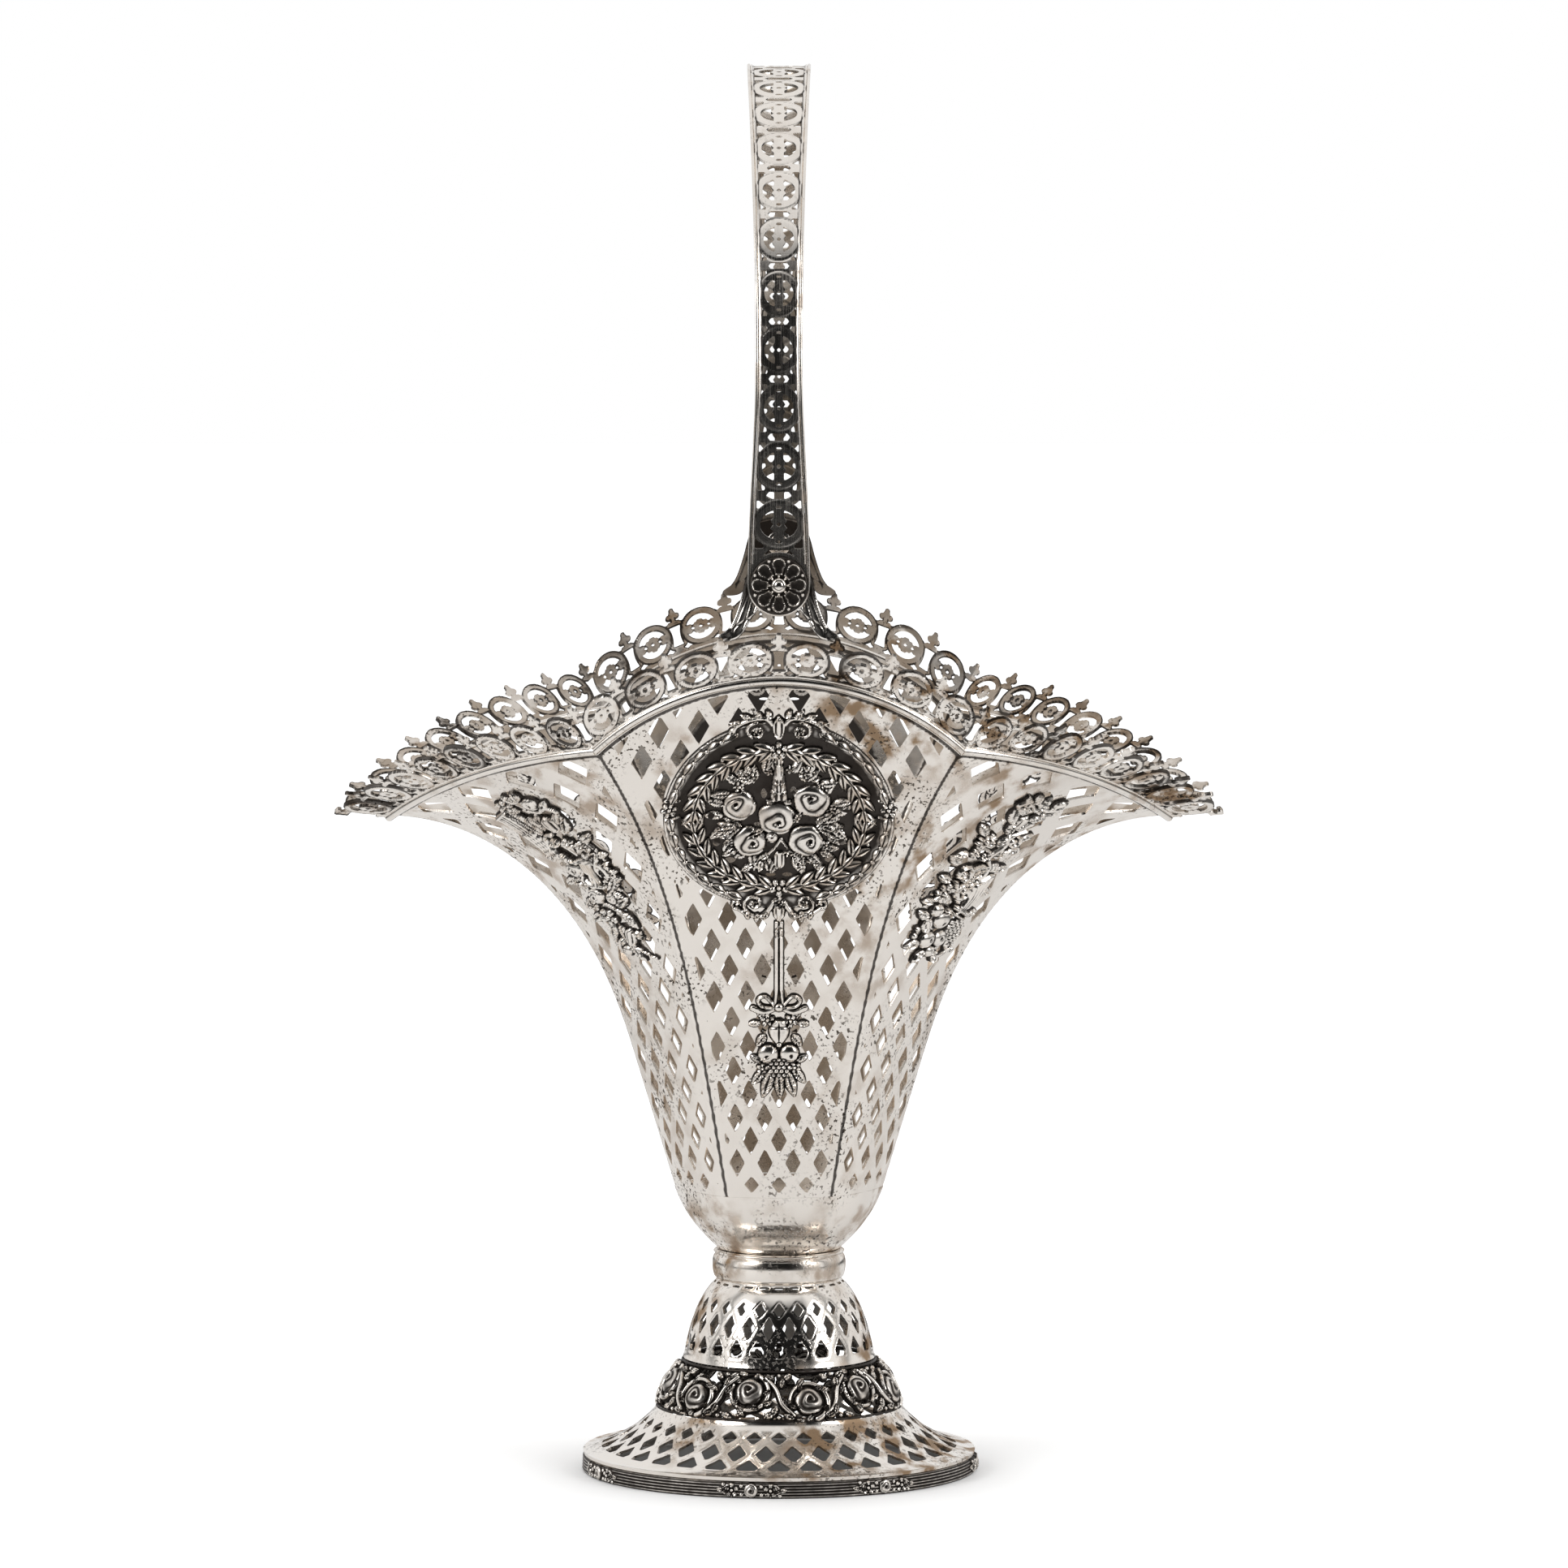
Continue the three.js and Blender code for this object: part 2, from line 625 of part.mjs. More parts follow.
// A stretch of the border from one end to the other, in cells with an oval opening each and
// a scalloped outer edge that carries a finial between the ovals.
function borderGeometry(panel, from, to, cells) {
  const inner = (u) => rimLine(panel, u) + GAP / 2;
  const trimmed = (u, s) => {
    const room = halfWidth(panel, s);
    const x = u * room;
    const first = from * room + (from < -0.99 ? SEAM_GAP : GAP / 2);
    const last = to * room - (to > 0.99 ? SEAM_GAP : GAP / 2);
    return flat(min(last, max(first, x)), s);
  };
  // share is the part of the border's width, from 0 at the moulding to 1 at the finials
  const at = (u, share) => trimmed(u, inner(u) + share * borderWidth(panel, u));
  const valley = 1 - FINIAL_LENGTH / BORDER_WIDTH;
  const pitch = (to - from) / cells;
  const outline = [];
  for (const k of range(cells)) {
    outline.push(at(from + pitch * k, 0), at(from + pitch * (k + 0.5), 0));
  }
  outline.push(at(to, 0));
  const holes = [];
  for (let k = cells - 1; k >= 0; k -= 1) {
    const start = from + pitch * k;
    outline.push(at(start + pitch, k === cells - 1 ? valley : 1), at(start + pitch * 0.86, valley));
    outline.push(at(start + pitch * 0.5, 0.95), at(start + pitch * 0.14, valley));
    if (k === 0) outline.push(at(start, valley));
    holes.push(range(6).map((j) => {
      const angle = (2 * PI * (j + 0.5)) / 6;
      return at(start + pitch * (0.5 + 0.3 * cos(angle)), 0.47 + 0.26 * sin(angle));
    }));
  }
  return bend(pierce(outline, holes), laidOn(panel));
}

// Roundel: husk ring, dark ground, wreath ring and a bouquet held by four stems.
function roundelGeometry(panel) {
  const facets = ROUNDEL_FACETS;
  const rings = [
    [1.0, 0.4], [0.9, 1.6], [0.78, 0.3], [0.67, 1.9], [0.56, 0.5], [0.3, 1.6], [0, 3.0],
  ];
  const points = [];
  const heights = [];
  rings.forEach(([share, height]) => {
    const count = share > 0 ? facets : 1;
    for (const k of range(count)) {
      const angle = (2 * PI * k) / facets;
      points.push(flat(
        share * ROUNDEL_HALF_WIDTH * cos(angle),
        roundelCentre + share * ROUNDEL_HALF_LENGTH * sin(angle),
      ));
      heights.push(height);
    }
  });
  const faces = [];
  for (const ring of range(rings.length - 2)) {
    for (const k of range(facets)) {
      const next = (k + 1) % facets;
      const open = ring === 4 && k % 4 > 1;
      const [a, b] = [ring * facets + k, ring * facets + next];
      if (!open) faces.push([a, b, a + facets], [b, b + facets, a + facets]);
    }
  }
  const hub = points.length - 1;
  const last = (rings.length - 2) * facets;
  for (const k of range(facets)) faces.push([last + k, last + ((k + 1) % facets), hub]);
  const height = new Map(points.map((point, k) => [point, heights[k]]));
  const pattern = { points, faces: faces.map((face) => turnedLeft(face, points)) };
  return bend(pattern, laidOn(panel, (point) => [height.get(point), -SHEET]));
}

// An applied relief: an outline drawn as half widths along a spine, highest on the spine.
function reliefGeometry(panel, low, high, rows, crest) {
  const points = [];
  const faces = [];
  rows.forEach(([part, width]) => {
    const s = mix(low, high, part);
    points.push(flat(-width, s), flat(0, s), flat(width, s));
  });
  for (const k of range(rows.length - 1)) {
    const a = k * 3;
    faces.push([a, a + 1, a + 4], [a, a + 4, a + 3], [a + 1, a + 2, a + 5], [a + 1, a + 5, a + 4]);
  }
  const raise = (point) => [SEAT + (point.x === 0 ? crest : ORNAMENT_EDGE), SEAT];
  return bend({ points, faces }, laidOn(panel, raise));
}

// Leaf fan, grapes, fruit, acorn, florets, ribbon bow and stem below the roundel, from low to
// high, each as the half width there in parts of the pendant's own.
function pendantGeometry(panel) {
  const widths = [
    0.12, 0.6, 0.9, 0.55, 0.82, 0.5, 0.76, 0.5, 1, 0.9, 0.3, 0.22, 0.26,
  ];
  const rows = widths.map((width, k) => [k / (widths.length - 1), width * PENDANT_HALF_WIDTH]);
  return reliefGeometry(panel, pendantLow, pendantHigh, rows, PENDANT_CREST);
}

// Leaf sprays, ribbon bow, roses, the lyre's body and arms, and the tip of the torch.
function trophyGeometry(panel) {
  const widths = [
    0.16, 0.42, 0.36, 0.95, 0.66, 0.84, 1, 0.76, 0.92, 0.66, 0.6, 0.44, 0.2,
  ];
  const rows = widths.map((width, k) => [k / (widths.length - 1), width * TROPHY_HALF_WIDTH]);
  return reliefGeometry(panel, trophyLow, trophyHigh, rows, TROPHY_CREST);
}

// Cup: a round bowl whose rim takes the outline of the six panels that stand on it.
function cupGeometry() {
  const bottom = collarTop + GAP;
  const rise = cupTop - bottom;
  const rimRadius = SEAM_BASE_RADIUS - GAP;
  const outer = [
    [NECK_RADIUS, 0], [mix(NECK_RADIUS, rimRadius, 0.58), rise * 0.36],
    [mix(NECK_RADIUS, rimRadius, 0.86), rise * 0.66], [rimRadius, rise],
  ];
  const inner = outer.map(([r, h], k) => [r - SHEET, k === 0 ? SHEET : h]).reverse();
  const profile = [...outer, ...inner];
  const rim = panels.flatMap((panel) => range(CUP_STEPS)
    .map((k) => onPanel(panel, -1 + (2 * k) / CUP_STEPS, 0)));
  const positions = [0, 0, bottom];
  for (const [r, h] of profile) {
    for (const { x, y } of rim) {
      const reach = hypot(x, y);
      const share = mix(1, reach / SEAM_BASE_RADIUS, (h / rise) ** 2);
      positions.push((r * share * x) / reach, (r * share * y) / reach, bottom + h);
    }
  }
  positions.push(0, 0, bottom + SHEET);
  const corners = [];
  const ring = (row, k) => 1 + row * rim.length + (k % rim.length);
  const top = positions.length / 3 - 1;
  for (const k of range(rim.length)) {
    corners.push(0, ring(0, k + 1), ring(0, k));
    for (const row of range(profile.length - 1)) {
      corners.push(ring(row, k), ring(row, k + 1), ring(row + 1, k + 1));
      corners.push(ring(row, k), ring(row + 1, k + 1), ring(row + 1, k));
    }
    corners.push(ring(profile.length - 1, k), ring(profile.length - 1, k + 1), top);
  }
  const geometry = new THREE.BufferGeometry();
  geometry.setAttribute('position', new THREE.Float32BufferAttribute(positions, 3));
  geometry.setIndex(corners);
  return geometry;
}

// Handle and pivots. Everything here is stacked outwards from the bracket, which stands on
// the border's outer edge at the middle of the front and of the back.

// The top of the front border's outer edge, at a distance across from the middle.
function borderEdge(across) {
  const panel = panels[0];
  const u = across / halfWidth(panel, SEAM_LENGTH + FRONT_ARCH);
  const s = rimLine(panel, u) + GAP / 2 + borderWidth(panel, u);
  const outer = onPanel(panel, u, s);
  const inner = outer.clone().addScaledVector(thicknessLine(panel, u, s), -SHEET);
  return { reach: -outer.y, height: max(outer.z, inner.z) };
}

const toeSeat = borderEdge(BRACKET_SPREAD);
const bracketPlane = toeSeat.reach - SHEET / 2;
const pivotHeight = toeSeat.height + GAP + BRACKET_LEG;
const stripPlane = bracketPlane + SHEET / 2 + GAP;
const handleSpan = stripPlane + SHEET;
const archCentre = TOP_HEIGHT - handleSpan;
const legLength = archCentre - pivotHeight;
const handleLength = 2 * legLength + PI * handleSpan;

// Places a pattern drawn across and along the handle; along is 0 at the front pivot.
function onHandle(across, along, height) {
  const reach = handleSpan + height;
  if (along < legLength) return vec(across, -reach, pivotHeight + along);
  const past = along - legLength - PI * handleSpan;
  if (past > 0) return vec(across, reach, archCentre - past);
  const angle = (along - legLength) / handleSpan;
  return vec(across, -reach * cos(angle), archCentre + reach * sin(angle));
}

// Half width of the handle: full at the pivots, a waist on each leg, widest at the top.
function handleHalfWidth(along) {
  const half = handleLength / 2;
  const waist = legLength + 12;
  const rise = half - abs(half - THREE.MathUtils.clamp(along, 0, handleLength));
  const ease = (value) => value * value * (3 - 2 * value);
  if (rise < waist) return mix(HANDLE_END_WIDTH, HANDLE_WAIST_WIDTH, ease(rise / waist)) / 2;
  return mix(HANDLE_WAIST_WIDTH, HANDLE_TOP_WIDTH, ease((rise - waist) / (half - waist))) / 2;
}

const stripHalfWidth = (along) => handleHalfWidth(along) - HANDLE_WIRE * 2 - GAP;

function handleStrip() {
  const cells = round((handleLength - HANDLE_END_WIDTH) / HANDLE_PITCH);
  const start = HANDLE_END_WIDTH / 2;
  const pitch = (handleLength - 2 * start) / cells;
  const outline = [];
  const holes = [];
  const endRadius = HANDLE_END_WIDTH / 2;
  const roundEnd = (centre, sign) => range(7).map((k) => {
    const angle = PI * (k / 6);
    return flat(-sign * endRadius * cos(angle), centre - sign * endRadius * sin(angle));
  });
  outline.push(...roundEnd(0, 1));
  for (const k of range(cells + 1)) {
    outline.push(flat(stripHalfWidth(start + k * pitch), start + k * pitch));
  }
  outline.push(...roundEnd(handleLength, -1));
  for (const k of range(cells + 1)) {
    const along = handleLength - start - k * pitch;
    outline.push(flat(-stripHalfWidth(along), along));
  }
  for (const k of range(cells)) {
    const middle = start + (k + 0.5) * pitch;
    const width = stripHalfWidth(middle) * 0.58;
    for (const side of [-1, 1]) {
      holes.push([
        flat(-width * 0.8, middle + side * 1.2), flat(width * 0.8, middle + side * 1.2),
        flat(width * 0.6, middle + side * pitch * 0.33), flat(-width * 0.6, middle + side * pitch * 0.33),
      ]);
    }
  }
  for (const centre of [0, handleLength]) {
    holes.push(range(8).map((k) => {
      const angle = (2 * PI * (k + 0.5)) / 8;
      const radius = PIN_RADIUS + GAP;
      return flat(radius * cos(angle), centre + radius * sin(angle));
    }));
  }
  return bend(pierce(outline, holes), (point) => [
    onHandle(point.x, point.y, 0), onHandle(point.x, point.y, -SHEET),
  ]);
}

// A wire soldered along one edge of the handle.
function handleWire(side) {
  const start = HANDLE_END_WIDTH / 2 + 1;
  const steps = 30;
  const sides = 4;
  const positions = [];
  const corners = [];
  for (const k of range(steps + 1)) {
    const along = mix(start, handleLength - start, k / steps);
    const centre = handleHalfWidth(along) - HANDLE_WIRE;
    for (const j of range(sides)) {
      const angle = (2 * PI * (j + 0.5)) / sides;
      const across = side * (centre - HANDLE_WIRE * cos(angle));
      const height = HANDLE_WIRE * sin(angle) - SHEET * 0.3;
      positions.push(...onHandle(across, along, height).toArray());
    }
  }
  const wind = (a, b, c) => (side > 0 ? corners.push(a, c, b) : corners.push(a, b, c));
  for (const k of range(steps)) {
    for (const j of range(sides)) {
      const a = k * sides + j;
      const b = k * sides + ((j + 1) % sides);
      wind(a, a + sides, b + sides);
      wind(a, b + sides, b);
    }
  }
  const end = steps * sides;
  for (let j = 1; j < sides - 1; j += 1) {
    wind(0, j, j + 1);
    wind(end, end + j + 1, end + j);
  }
  const geometry = new THREE.BufferGeometry();
  geometry.setAttribute('position', new THREE.Float32BufferAttribute(positions, 3));
  geometry.setIndex(corners);
  return geometry;
}

// The bracket: a head round the pin and two splayed legs, open between them.
function bracketGeometry() {
  const innerToe = BRACKET_SPREAD * TOE_INNER;
  const half = [
    [0, -BRACKET_HEAD * 0.75], [BRACKET_HEAD * 0.62, -BRACKET_HEAD * 0.6],
    [innerToe, borderEdge(innerToe).height + GAP - pivotHeight], [BRACKET_SPREAD, -BRACKET_LEG],
    [BRACKET_SPREAD * 0.74, -BRACKET_LEG * 0.62], [BRACKET_HEAD * 1.2, 0],
    [BRACKET_HEAD * 0.95, BRACKET_HEAD * 0.75], [BRACKET_HEAD * 0.45, BRACKET_HEAD * 0.9],
    [0, BRACKET_HEAD],
  ];
  const outline = half.map(([x, z]) => flat(x, z));
  half.slice(1, -1).reverse().forEach(([x, z]) => outline.push(flat(-x, z)));
  const radius = PIN_RADIUS + GAP;
  const hole = range(12).map((k) => flat(radius * cos(k * PI / 6), radius * sin(k * PI / 6)));
  return bend(pierce(outline, [hole]), (point) => [
    vec(point.x, -SHEET / 2, point.y), vec(point.x, SHEET / 2, point.y),
  ]);
}

function rosetteGeometry() {
  const count = ROSETTE_PETALS * 2;
  const ring = (radius, wave) => range(count).map((k) => {
    const angle = (2 * PI * k) / count;
    const reach = radius + (k % 2 ? wave : 0);
    return flat(reach * cos(angle), reach * sin(angle));
  });
  const inner = PIN_RADIUS + GAP;
  const rings = [
    [ring(ROSETTE_RADIUS * 0.9, ROSETTE_RADIUS * 0.1), ROSETTE_EDGE],
    [ring(ROSETTE_RADIUS * 0.66, ROSETTE_RADIUS * 0.04), ROSETTE_CREST],
    [ring(inner, 0), ROSETTE_HUB],
  ];
  const points = [];
  const height = new Map();
  for (const [ringPoints, level] of rings) {
    for (const point of ringPoints) {
      points.push(point);
      height.set(point, level);
    }
  }
  const faces = [];
  for (const row of range(rings.length - 1)) {
    for (const k of range(count)) {
      const a = row * count + k;
      const b = row * count + ((k + 1) % count);
      faces.push([a, b, a + count], [b, b + count, a + count]);
    }
  }
  return bend({ points, faces: faces.map((face) => turnedLeft(face, points)) }, (point) => [
    vec(point.x, -height.get(point), point.y), vec(point.x, 0, point.y),
  ]);
}

// The pin: a peened head inside, the shaft, and the beaded boss over the rosette.
const washerBack = bracketPlane - SHEET / 2 - GAP;
const pinHeadFront = washerBack - WASHER_THICKNESS - GAP;
const rosetteBack = handleSpan + GAP;

function pinGeometry() {
  const headBack = pinHeadFront - PIN_HEAD_THICKNESS;
  const bossBack = rosetteBack + ROSETTE_HUB + GAP;
  const profile = [
    [0, headBack], [PIN_HEAD_RADIUS, headBack + PIN_HEAD_THICKNESS / 4],
    [PIN_HEAD_RADIUS, pinHeadFront], [PIN_RADIUS, pinHeadFront], [PIN_RADIUS, bossBack],
    [PIN_RADIUS * 1.5, bossBack], [PIN_RADIUS * 1.4, bossBack + BOSS_THICKNESS * 0.6],
    [0, bossBack + BOSS_THICKNESS],
  ];
  return new THREE.LatheGeometry(profile.map(([r, y]) => flat(r, y)), 10).rotateX(PI);
}

function washerGeometry() {
  const inner = PIN_RADIUS + GAP;
  const outer = inner + WASHER_WIDTH;
  const profile = [
    [inner, washerBack - WASHER_THICKNESS], [outer, washerBack - WASHER_THICKNESS],
    [outer, washerBack], [inner, washerBack], [inner, washerBack - WASHER_THICKNESS],
  ];
  return new THREE.LatheGeometry(profile.map(([r, y]) => flat(r, y)), 10).rotateX(PI);
}

add('foot_rim', footRim(), aged());
add('foot_skirt', footSkirt(), bright());
add('foot_rose_band', roseBand(), aged());
add('foot_dome', footDome(), bright());
add('neck_collar', neckCollar(), bright());
add('cup', cupGeometry(), bright());

for (const panel of panels) {
  add(`panel_${panel.name}`, panelGeometry(panel), bright());
  add(`moulding_${panel.name}`, mouldingGeometry(panel), bright());
  if (isFront(panel)) {
    add(`border_${panel.name}_a`, borderGeometry(panel, -1, 0, BORDER_CELLS / 2), aged());
    add(`border_${panel.name}_b`, borderGeometry(panel, 0, 1, BORDER_CELLS / 2), aged());
    add(`roundel_${panel.name}`, roundelGeometry(panel), aged());
    add(`pendant_${panel.name}`, pendantGeometry(panel), aged());
  } else {
    add(`border_${panel.name}`, borderGeometry(panel, -1, 1, BORDER_CELLS), aged());
    add(`trophy_${panel.name}`, trophyGeometry(panel), aged());
  }
}

add('handle_strip', handleStrip(), aged());
add('handle_wire_right', handleWire(1), bright());
add('handle_wire_left', handleWire(-1), bright());
for (const [name, turn] of [['front', 0], ['back', PI]]) {
  const bracket = add(`bracket_${name}`, bracketGeometry(), aged());
  bracket.rotation.z = turn;
  bracket.position.set(0, turn ? bracketPlane : -bracketPlane, pivotHeight);
  const rosette = add(`rosette_${name}`, rosetteGeometry(), aged());
  rosette.rotation.z = turn;
  rosette.position.set(0, turn ? rosetteBack : -rosetteBack, pivotHeight);
  for (const [piece, geometry] of [['pivot_pin', pinGeometry()], ['washer', washerGeometry()]]) {
    const mesh = add(`${piece}_${name}`, geometry, bright());
    mesh.rotation.z = turn;
    mesh.position.set(0, 0, pivotHeight);
  }
}

export default basket;
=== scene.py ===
# %% [markdown]
# # A pierced silver bride's basket, made in cells
# The basket is thin silver sheet that was pierced flat, bent, and soldered along its seams,
# with stamped flowers let into it. The same order works in Blender: draw each pattern flat,
# where holes and relief are easy, and bend the finished mesh onto the body afterwards.
# Lengths are in millimetres until a mesh is made, and become metres there.

# %% Load the fixed frame
import math

import bpy
import numpy as np
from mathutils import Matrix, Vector


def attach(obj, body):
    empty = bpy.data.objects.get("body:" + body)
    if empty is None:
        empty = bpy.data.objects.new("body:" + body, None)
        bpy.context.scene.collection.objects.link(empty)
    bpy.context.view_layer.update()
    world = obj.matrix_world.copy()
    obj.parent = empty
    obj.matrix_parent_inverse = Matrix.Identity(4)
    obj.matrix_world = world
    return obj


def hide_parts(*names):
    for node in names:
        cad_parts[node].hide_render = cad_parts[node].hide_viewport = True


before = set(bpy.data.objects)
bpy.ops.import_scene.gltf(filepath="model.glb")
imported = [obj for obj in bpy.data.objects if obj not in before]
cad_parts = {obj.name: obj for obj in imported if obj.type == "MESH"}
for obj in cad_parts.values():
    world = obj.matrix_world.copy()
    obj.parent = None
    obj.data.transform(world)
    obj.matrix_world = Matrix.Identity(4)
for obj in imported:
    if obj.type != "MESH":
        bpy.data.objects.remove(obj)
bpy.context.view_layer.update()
MM = 0.001
print("nodes in the frame:", len(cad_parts))

# %% [markdown]
# ## Camera
# The photograph was taken from far away with a long lens, a little above the rim, so upright
# edges stay parallel and the foot shows its upper side. A camera 3.2 m away that looks
# slightly down gives the same view.

# %% Camera
CAMERA_PLACE = (0.0016, -3.2, 0.505)
CAMERA_TARGET = (0.0016, 0.0, 0.2207)
FULL_FRAME, LENS = 36.0, 230.8


def add_object(name, data, place=None, target=None):
    """Puts data into the scene; with a target, it is moved and turned to look there."""
    thing = bpy.data.objects.new(name, data)
    bpy.context.collection.objects.link(thing)
    if target is not None:
        thing.location = place
        aim = Vector(target) - Vector(place)
        thing.rotation_euler = aim.to_track_quat("-Z", "Y").to_euler()
    return thing


camera_data = bpy.data.cameras.new("camera")
camera_data.sensor_width, camera_data.lens = FULL_FRAME, LENS
camera_data.clip_end = 50.0
camera = add_object("camera", camera_data, CAMERA_PLACE, CAMERA_TARGET)
bpy.context.scene.camera = camera
bpy.context.scene.view_settings.view_transform = "Standard"
print("camera is", round(-CAMERA_PLACE[1], 1), "m away")

# %% [markdown]
# ## Nodes written as sums
# Both the looks and the repeating trees are node trees. `add_node` adds one node and feeds it.
# `Flow` is a number on its way through a tree, so that a chain of math nodes can be written
# as an ordinary sum.

# %% Node helpers
class Flow:
    """A number on its way through a node tree: + - * add math nodes to it."""

    def __init__(self, tree, socket):
        self.tree, self.socket = tree, socket

    def math(self, kind, *others):
        node = self.tree.nodes.new("ShaderNodeMath")
        node.operation = kind
        for slot, value in zip(node.inputs, (self, *others)):
            feed(self.tree, slot, value)
        return Flow(self.tree, node.outputs[0])

    def __add__(self, other):
        return self.math("ADD", other)

    def __sub__(self, other):
        return self.math("SUBTRACT", other)

    def __mul__(self, other):
        return self.math("MULTIPLY", other)

    def steps(self, low, high, to_low=0.0, to_high=1.0, kind="SMOOTHSTEP"):
        """Rises from to_low to to_high while the number goes from low to high."""
        node = add_node(self.tree, "ShaderNodeMapRange",
                        {"Value": self, "From Min": low, "From Max": high,
                         "To Min": to_low, "To Max": to_high}, interpolation_type=kind)
        return Flow(self.tree, node.outputs["Result"])

    def ramp(self, stops):
        """A grey that follows stops of place and brightness."""
        node = add_node(self.tree, "ShaderNodeValToRGB", {0: self})
        elements = node.color_ramp.elements
        while len(elements) < len(stops):
            elements.new(0.5)
        for element, (place, grey) in zip(elements, stops):
            element.position = place
            element.color = (grey, grey, grey, 1)
        return Flow(self.tree, node.outputs[0])


def feed(tree, slot, value):
    """Gives an input a value, or links it to a flow, a socket or a node's first output."""
    if isinstance(value, Flow):
        value = value.socket
    if isinstance(value, bpy.types.Node):
        value = value.outputs[0]
    if isinstance(value, bpy.types.NodeSocket):
        tree.links.new(value, slot)
    else:
        slot.default_value = value


def add_node(tree, kind, inputs=None, **settings):
    node = tree.nodes.new(kind)
    for key, value in settings.items():
        setattr(node, key, value)
    for key, value in (inputs or {}).items():
        feed(tree, node.inputs[key], value)
    return node


def start_group(name, kind, inputs, outputs):
    """A node group; inputs and outputs are names with a kind, or a number to start from."""
    tree = bpy.data.node_groups.new(name, kind)
    for way, sockets in (("INPUT", inputs), ("OUTPUT", outputs)):
        for label, given in sockets.items():
            is_kind = isinstance(given, str)
            socket = tree.interface.new_socket(label, in_out=way, socket_type="NodeSocket" + (
                given if is_kind else "Float"))
            if not is_kind:
                socket.default_value = given
    start, end = tree.nodes.new("NodeGroupInput"), tree.nodes.new("NodeGroupOutput")
    return tree, {s.name: Flow(tree, s) for s in start.outputs if s.name}, end.inputs


print("node helpers ready")

# %% [markdown]
# ## Studio
# Polished silver has no colour of its own: it shows the room. The room here is a white tent
# with a dark gap where the camera stands. The gap gives the dark stripe down the middle of
# every upright curve, and the pale floor lights the leaning panels. Above the gap the tent
# closes over the basket, so the top of the handle is bright again.

# %% Studio: world, floor and lights
# What the camera sees of the floor is lifted to the white of the backdrop by this much.
FLOOR_GLOW = 0.5
FLOOR_SIZE = 6.0


def build_world():
    world = bpy.data.worlds.new("studio")
    bpy.context.scene.world = world
    world.use_nodes = True
    tree = world.node_tree
    tree.nodes.clear()
    around = add_node(tree, "ShaderNodeTexCoord").outputs["Generated"]
    split = add_node(tree, "ShaderNodeSeparateXYZ", {0: around}).outputs
    x, y, z = (Flow(tree, split[axis]) for axis in "XYZ")
    turn = x.math("ARCTAN2", y * -1.0).math("ABSOLUTE").math("DIVIDE", math.pi)
    walls = turn.ramp([(0.0, 0.01), (0.22, 0.015), (0.27, 0.5), (0.34, 1.0), (0.45, 1.05),
                       (0.50, 0.3), (0.56, 0.95), (1.0, 1.0)])
    roof = z.ramp([(0.0, 0.0), (0.72, 0.0), (0.88, 1.0), (1.0, 1.0)])
    tent = walls.math("MAXIMUM", roof * 0.92)
    path = add_node(tree, "ShaderNodeLightPath").outputs["Is Camera Ray"]
    seen = add_node(tree, "ShaderNodeBackground", {"Color": (1, 1, 1, 1), "Strength": 1.0})
    lit = add_node(tree, "ShaderNodeBackground", {"Strength": tent})
    mix = add_node(tree, "ShaderNodeMixShader", {0: path, 1: lit, 2: seen})
    add_node(tree, "ShaderNodeOutputWorld", {"Surface": mix})


def paper_look():
    """White paper that fades out far away, with a painted shadow: darker colour under the foot and
    a weaker glow round it.
    """
    material = bpy.data.materials.new("pale paper")
    material.use_nodes = True
    tree = material.node_tree
    place = add_node(tree, "ShaderNodeTexCoord").outputs["Object"]
    far = Flow(tree, add_node(tree, "ShaderNodeVectorMath", {0: place},
                              operation="LENGTH").outputs["Value"])
    camera_ray = Flow(tree, add_node(tree, "ShaderNodeLightPath").outputs["Is Camera Ray"])
    # The glow is weaker near the foot, which paints a soft shadow round it.
    lift = (far * 5.0).ramp([(0.29, 0.0), (0.32, FLOOR_GLOW * 0.3), (0.42, FLOOR_GLOW * 0.55),
                             (0.80, FLOOR_GLOW)])
    fade = far.steps(0.45, 0.95, 0.92, 0.02, "LINEAR").math("MAXIMUM", camera_ray)
    # Painted shadow: the paper's colour is darker under the foot.
    painted_shadow = far.steps(0.055, 0.0635, 0.32, 1.0, "LINEAR")
    shader = tree.nodes["Principled BSDF"]
    for label, value in (("Base Color", fade * painted_shadow), ("Roughness", 0.7),
                         ("Emission Color", (1, 1, 1, 1)),
                         ("Emission Strength", camera_ray * lift)):
        feed(tree, shader.inputs[label], value)
    return material


def build_floor():
    mesh = bpy.data.meshes.new("floor")
    corners = [(-1, -1), (1, -1), (1, 1), (-1, 1)]
    mesh.from_pydata([(x * FLOOR_SIZE, y * FLOOR_SIZE, 0) for x, y in corners], [],
                     [(0, 1, 2, 3)])
    mesh.materials.append(paper_look())
    add_object("floor", mesh)


def area_light(name, place, size, power):
    data = bpy.data.lights.new(name, "AREA")
    data.shape = "RECTANGLE"
    data.size, data.size_y = size
    data.energy = power
    add_object(name, data, place, (0, 0, 0.2))


build_world()
build_floor()
area_light("left box", (-1.6, -1.2, 1.3), (0.9, 1.4), 14)
area_light("right box", (1.7, -1.0, 1.1), (0.7, 1.2), 10)
print("studio ready")

# %% [markdown]
# ## Sizes
# The same driving sizes as the solids, so each visible piece lands where its solid is.

# %% Driving sizes
SHEET = 0.85
PANEL_BASE = 91.5
SEAM_RADIUS, MIDDLE_RADIUS = 33.5, 31.6
SEAM_LENGTH, STRAIGHT_LENGTH = 162.0, 45.0
FRONT_ARCH, SIDE_ARCH = 20.0, 1.5
BORDER_WIDTH, TIP_BORDER_WIDTH, BORDER_UPTURN = 16.5, 19.5, 6.0
ROUNDEL_CENTRE, TROPHY_LOW = 131.0, 79.0

